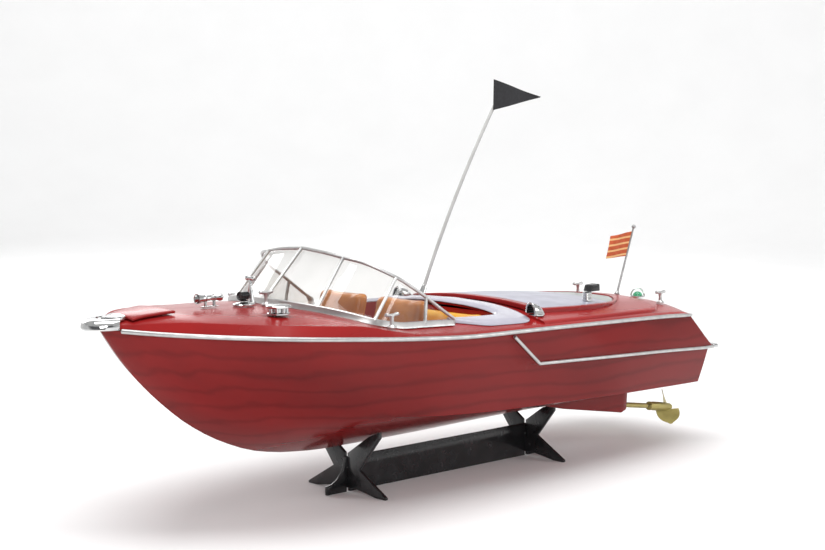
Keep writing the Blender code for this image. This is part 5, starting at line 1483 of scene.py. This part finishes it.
# ---------------------------------------------------------------- stand and kept nodes
EASED = (("stand_front_frame", 0.0004, "black", "stand"),
         ("stand_rear_frame", 0.0004, "black", "stand"),
         ("stand_spine", 0.0004, "black", "stand"),
         ("stern_platform", 0.0006, "chrome", "boat"),
         ("battery_pack", 0.0012, "battery", "boat"),
         ("receiver_board", 0.0003, "board", "boat"),
         ("power_switch_body", 0.0004, "black", "boat"),
         ("power_switch_slider", 0.0003, "white", "switch"),
         ("motor_mount", 0.0005, "black", "boat"),
         ("port_motor", 0.0006, "steel", "boat"),
         ("port_coupling", 0.0004, "black", "port_shaft"),
         ("starboard_motor", 0.0006, "steel", "boat"),
         ("starboard_coupling", 0.0004, "black", "starboard_shaft"))


def ease_frame_nodes():
    """The stand, the stern ledge and the inner parts, with their edges eased."""
    for node, width, look, body in EASED:
        softened(node, width, look, body)


def finish_kept_nodes():
    """The drive shafts are shown as they are in the frame."""
    for prefix, _ in SIDES:
        node = CAD[prefix + "_drive_shaft"]
        node.data.materials.clear()
        node.data.materials.append(FINISH["steel"])


# ---------------------------------------------------------------- studio
# The lamps' names, places, aims, sizes and power in watts.
LAMPS = (("overhead", (0.1, 0.1, 1.7), (0, 0, 0.1), (1.7, 1.1), 25.0),
         ("port_front", (1.3, 1.7, 0.9), (0, 0, 0.1), (1.1, 0.7), 15.0),
         ("port_stern", (-1.4, 1.3, 0.8), (0, 0, 0.1), (0.8, 0.6), 6.0),
         ("backdrop", (-0.9, -0.95, 1.1), (-2.6, -2.7, 0.6), (1.4, 0.8), 9.0),
         ("far_side", (-0.4, -1.8, 1.0), (0, 0, 0.15), (1.4, 0.7), 9.0))
SKY = 0.55                # strength of the even light from all round
CAMERA_SPOT = (1.0367, 1.0788, 0.3268)
CAMERA_AIM = (0.8054, 0.1029)        # yaw from +X and pitch down, in radians


def area_light(name, spot, aim, size, power):
    """A rectangular soft light that points at a spot."""
    light = bpy.data.objects.new(name, bpy.data.lights.new(name, "AREA"))
    light.data.shape = "RECTANGLE"
    light.data.size, light.data.size_y = size
    light.data.energy = power
    light.location = spot
    light.rotation_euler = (Vector(spot) - Vector(aim)).to_track_quat("Z", "Y").to_euler()
    bpy.context.scene.collection.objects.link(light)


def studio_paper():
    """Pale paper, darker high up on the side that faces the boat's port bow."""
    made = finish("studio_paper", (0.9, 0.9, 0.9), (0.88, 0.88, 0.88), (0.85, 0.9), 8.0, 0.02,
                  fine=60.0)
    return overlay(made, (0.16, 0.16, 0.17), (0.7, 0.7, 0.6), "MapRange",
                   {"From Min": 1.7, "From Max": 2.6})


def make_studio():
    """A pale floor that curves up into a wall, low on the port quarter, lights and camera."""
    flat, curve, wall_top, low_top = 2.2, 0.8, 1.6, 0.82
    profile = [(1.6, 0.0), (flat, 0.0)]
    profile += [(flat + curve * math.sin(a), curve - curve * math.cos(a))
                for a in (math.radians(9 * k) for k in range(1, 11))]
    profile.append((flat + curve, wall_top))
    bm = bmesh.new()
    rings = []
    for radius, height in profile:
        ring = []
        for a in around(96):
            top = min(height, low_top) if abs(a - 0.75 * math.pi) < 0.75 else height
            ring.append(bm.verts.new((radius * math.cos(a), radius * math.sin(a), top)))
        rings.append(ring)
    bm.faces.new(rings[0])
    join_rings(bm, rings)
    mesh = bpy.data.meshes.new("studio_floor")
    bm.to_mesh(mesh)
    bm.free()
    mesh.shade_smooth()
    mesh.set_sharp_from_angle(angle=math.radians(60))
    floor = place("studio_floor", mesh)
    floor.data.materials.append(studio_paper())
    scene = bpy.context.scene
    scene.view_settings.view_transform = "Standard"
    scene.world = bpy.data.worlds.new("studio_light")
    scene.world.use_nodes = True
    sky = scene.world.node_tree.nodes["Background"]
    sky.inputs["Color"].default_value = (1.0, 1.0, 1.0, 1.0)
    sky.inputs["Strength"].default_value = SKY
    for lamp in LAMPS:
        area_light(*lamp)
    yaw, pitch = CAMERA_AIM
    view = Vector((-math.cos(pitch) * math.cos(yaw), -math.cos(pitch) * math.sin(yaw),
                   -math.sin(pitch)))
    camera = bpy.data.objects.new("camera", bpy.data.cameras.new("camera"))
    camera.data.sensor_width = 36.0
    camera.data.lens = 78.545
    camera.data.clip_start = 0.05
    camera.location = CAMERA_SPOT
    camera.rotation_euler = view.to_track_quat("-Z", "Y").to_euler()
    scene.collection.objects.link(camera)
    scene.camera = camera


def main():
    """Build every piece, bow to stern, and the studio."""
    make_hull()
    make_deck()
    make_tier()
    make_tub()
    for prefix, side in SIDES:
        make_rub_rail(prefix + "_rub_rail", side)
        make_side_moulding(prefix + "_side_moulding", side)
    make_bow_fittings()
    make_windscreen()
    make_coaming()
    make_seats()
    make_helm()
    for prefix, side in SIDES:
        make_cleat(prefix + "_bow_cleat", BOW_CLEAT[0], side * BOW_CLEAT[1])
        make_cleat(prefix + "_stern_cleat", STERN_CLEAT[0], side * STERN_CLEAT[1])
        make_scoop(prefix + "_air_scoop", side)
        make_drive(prefix, side)
    make_cleat("centre_cleat", *CENTRE_CLEAT)
    make_horn()
    make_searchlight()
    make_bow_light()
    make_filler()
    make_hatch()
    make_stern_fittings()
    make_antenna()
    make_flagpole()
    ease_frame_nodes()
    finish_kept_nodes()
    make_studio()


main()
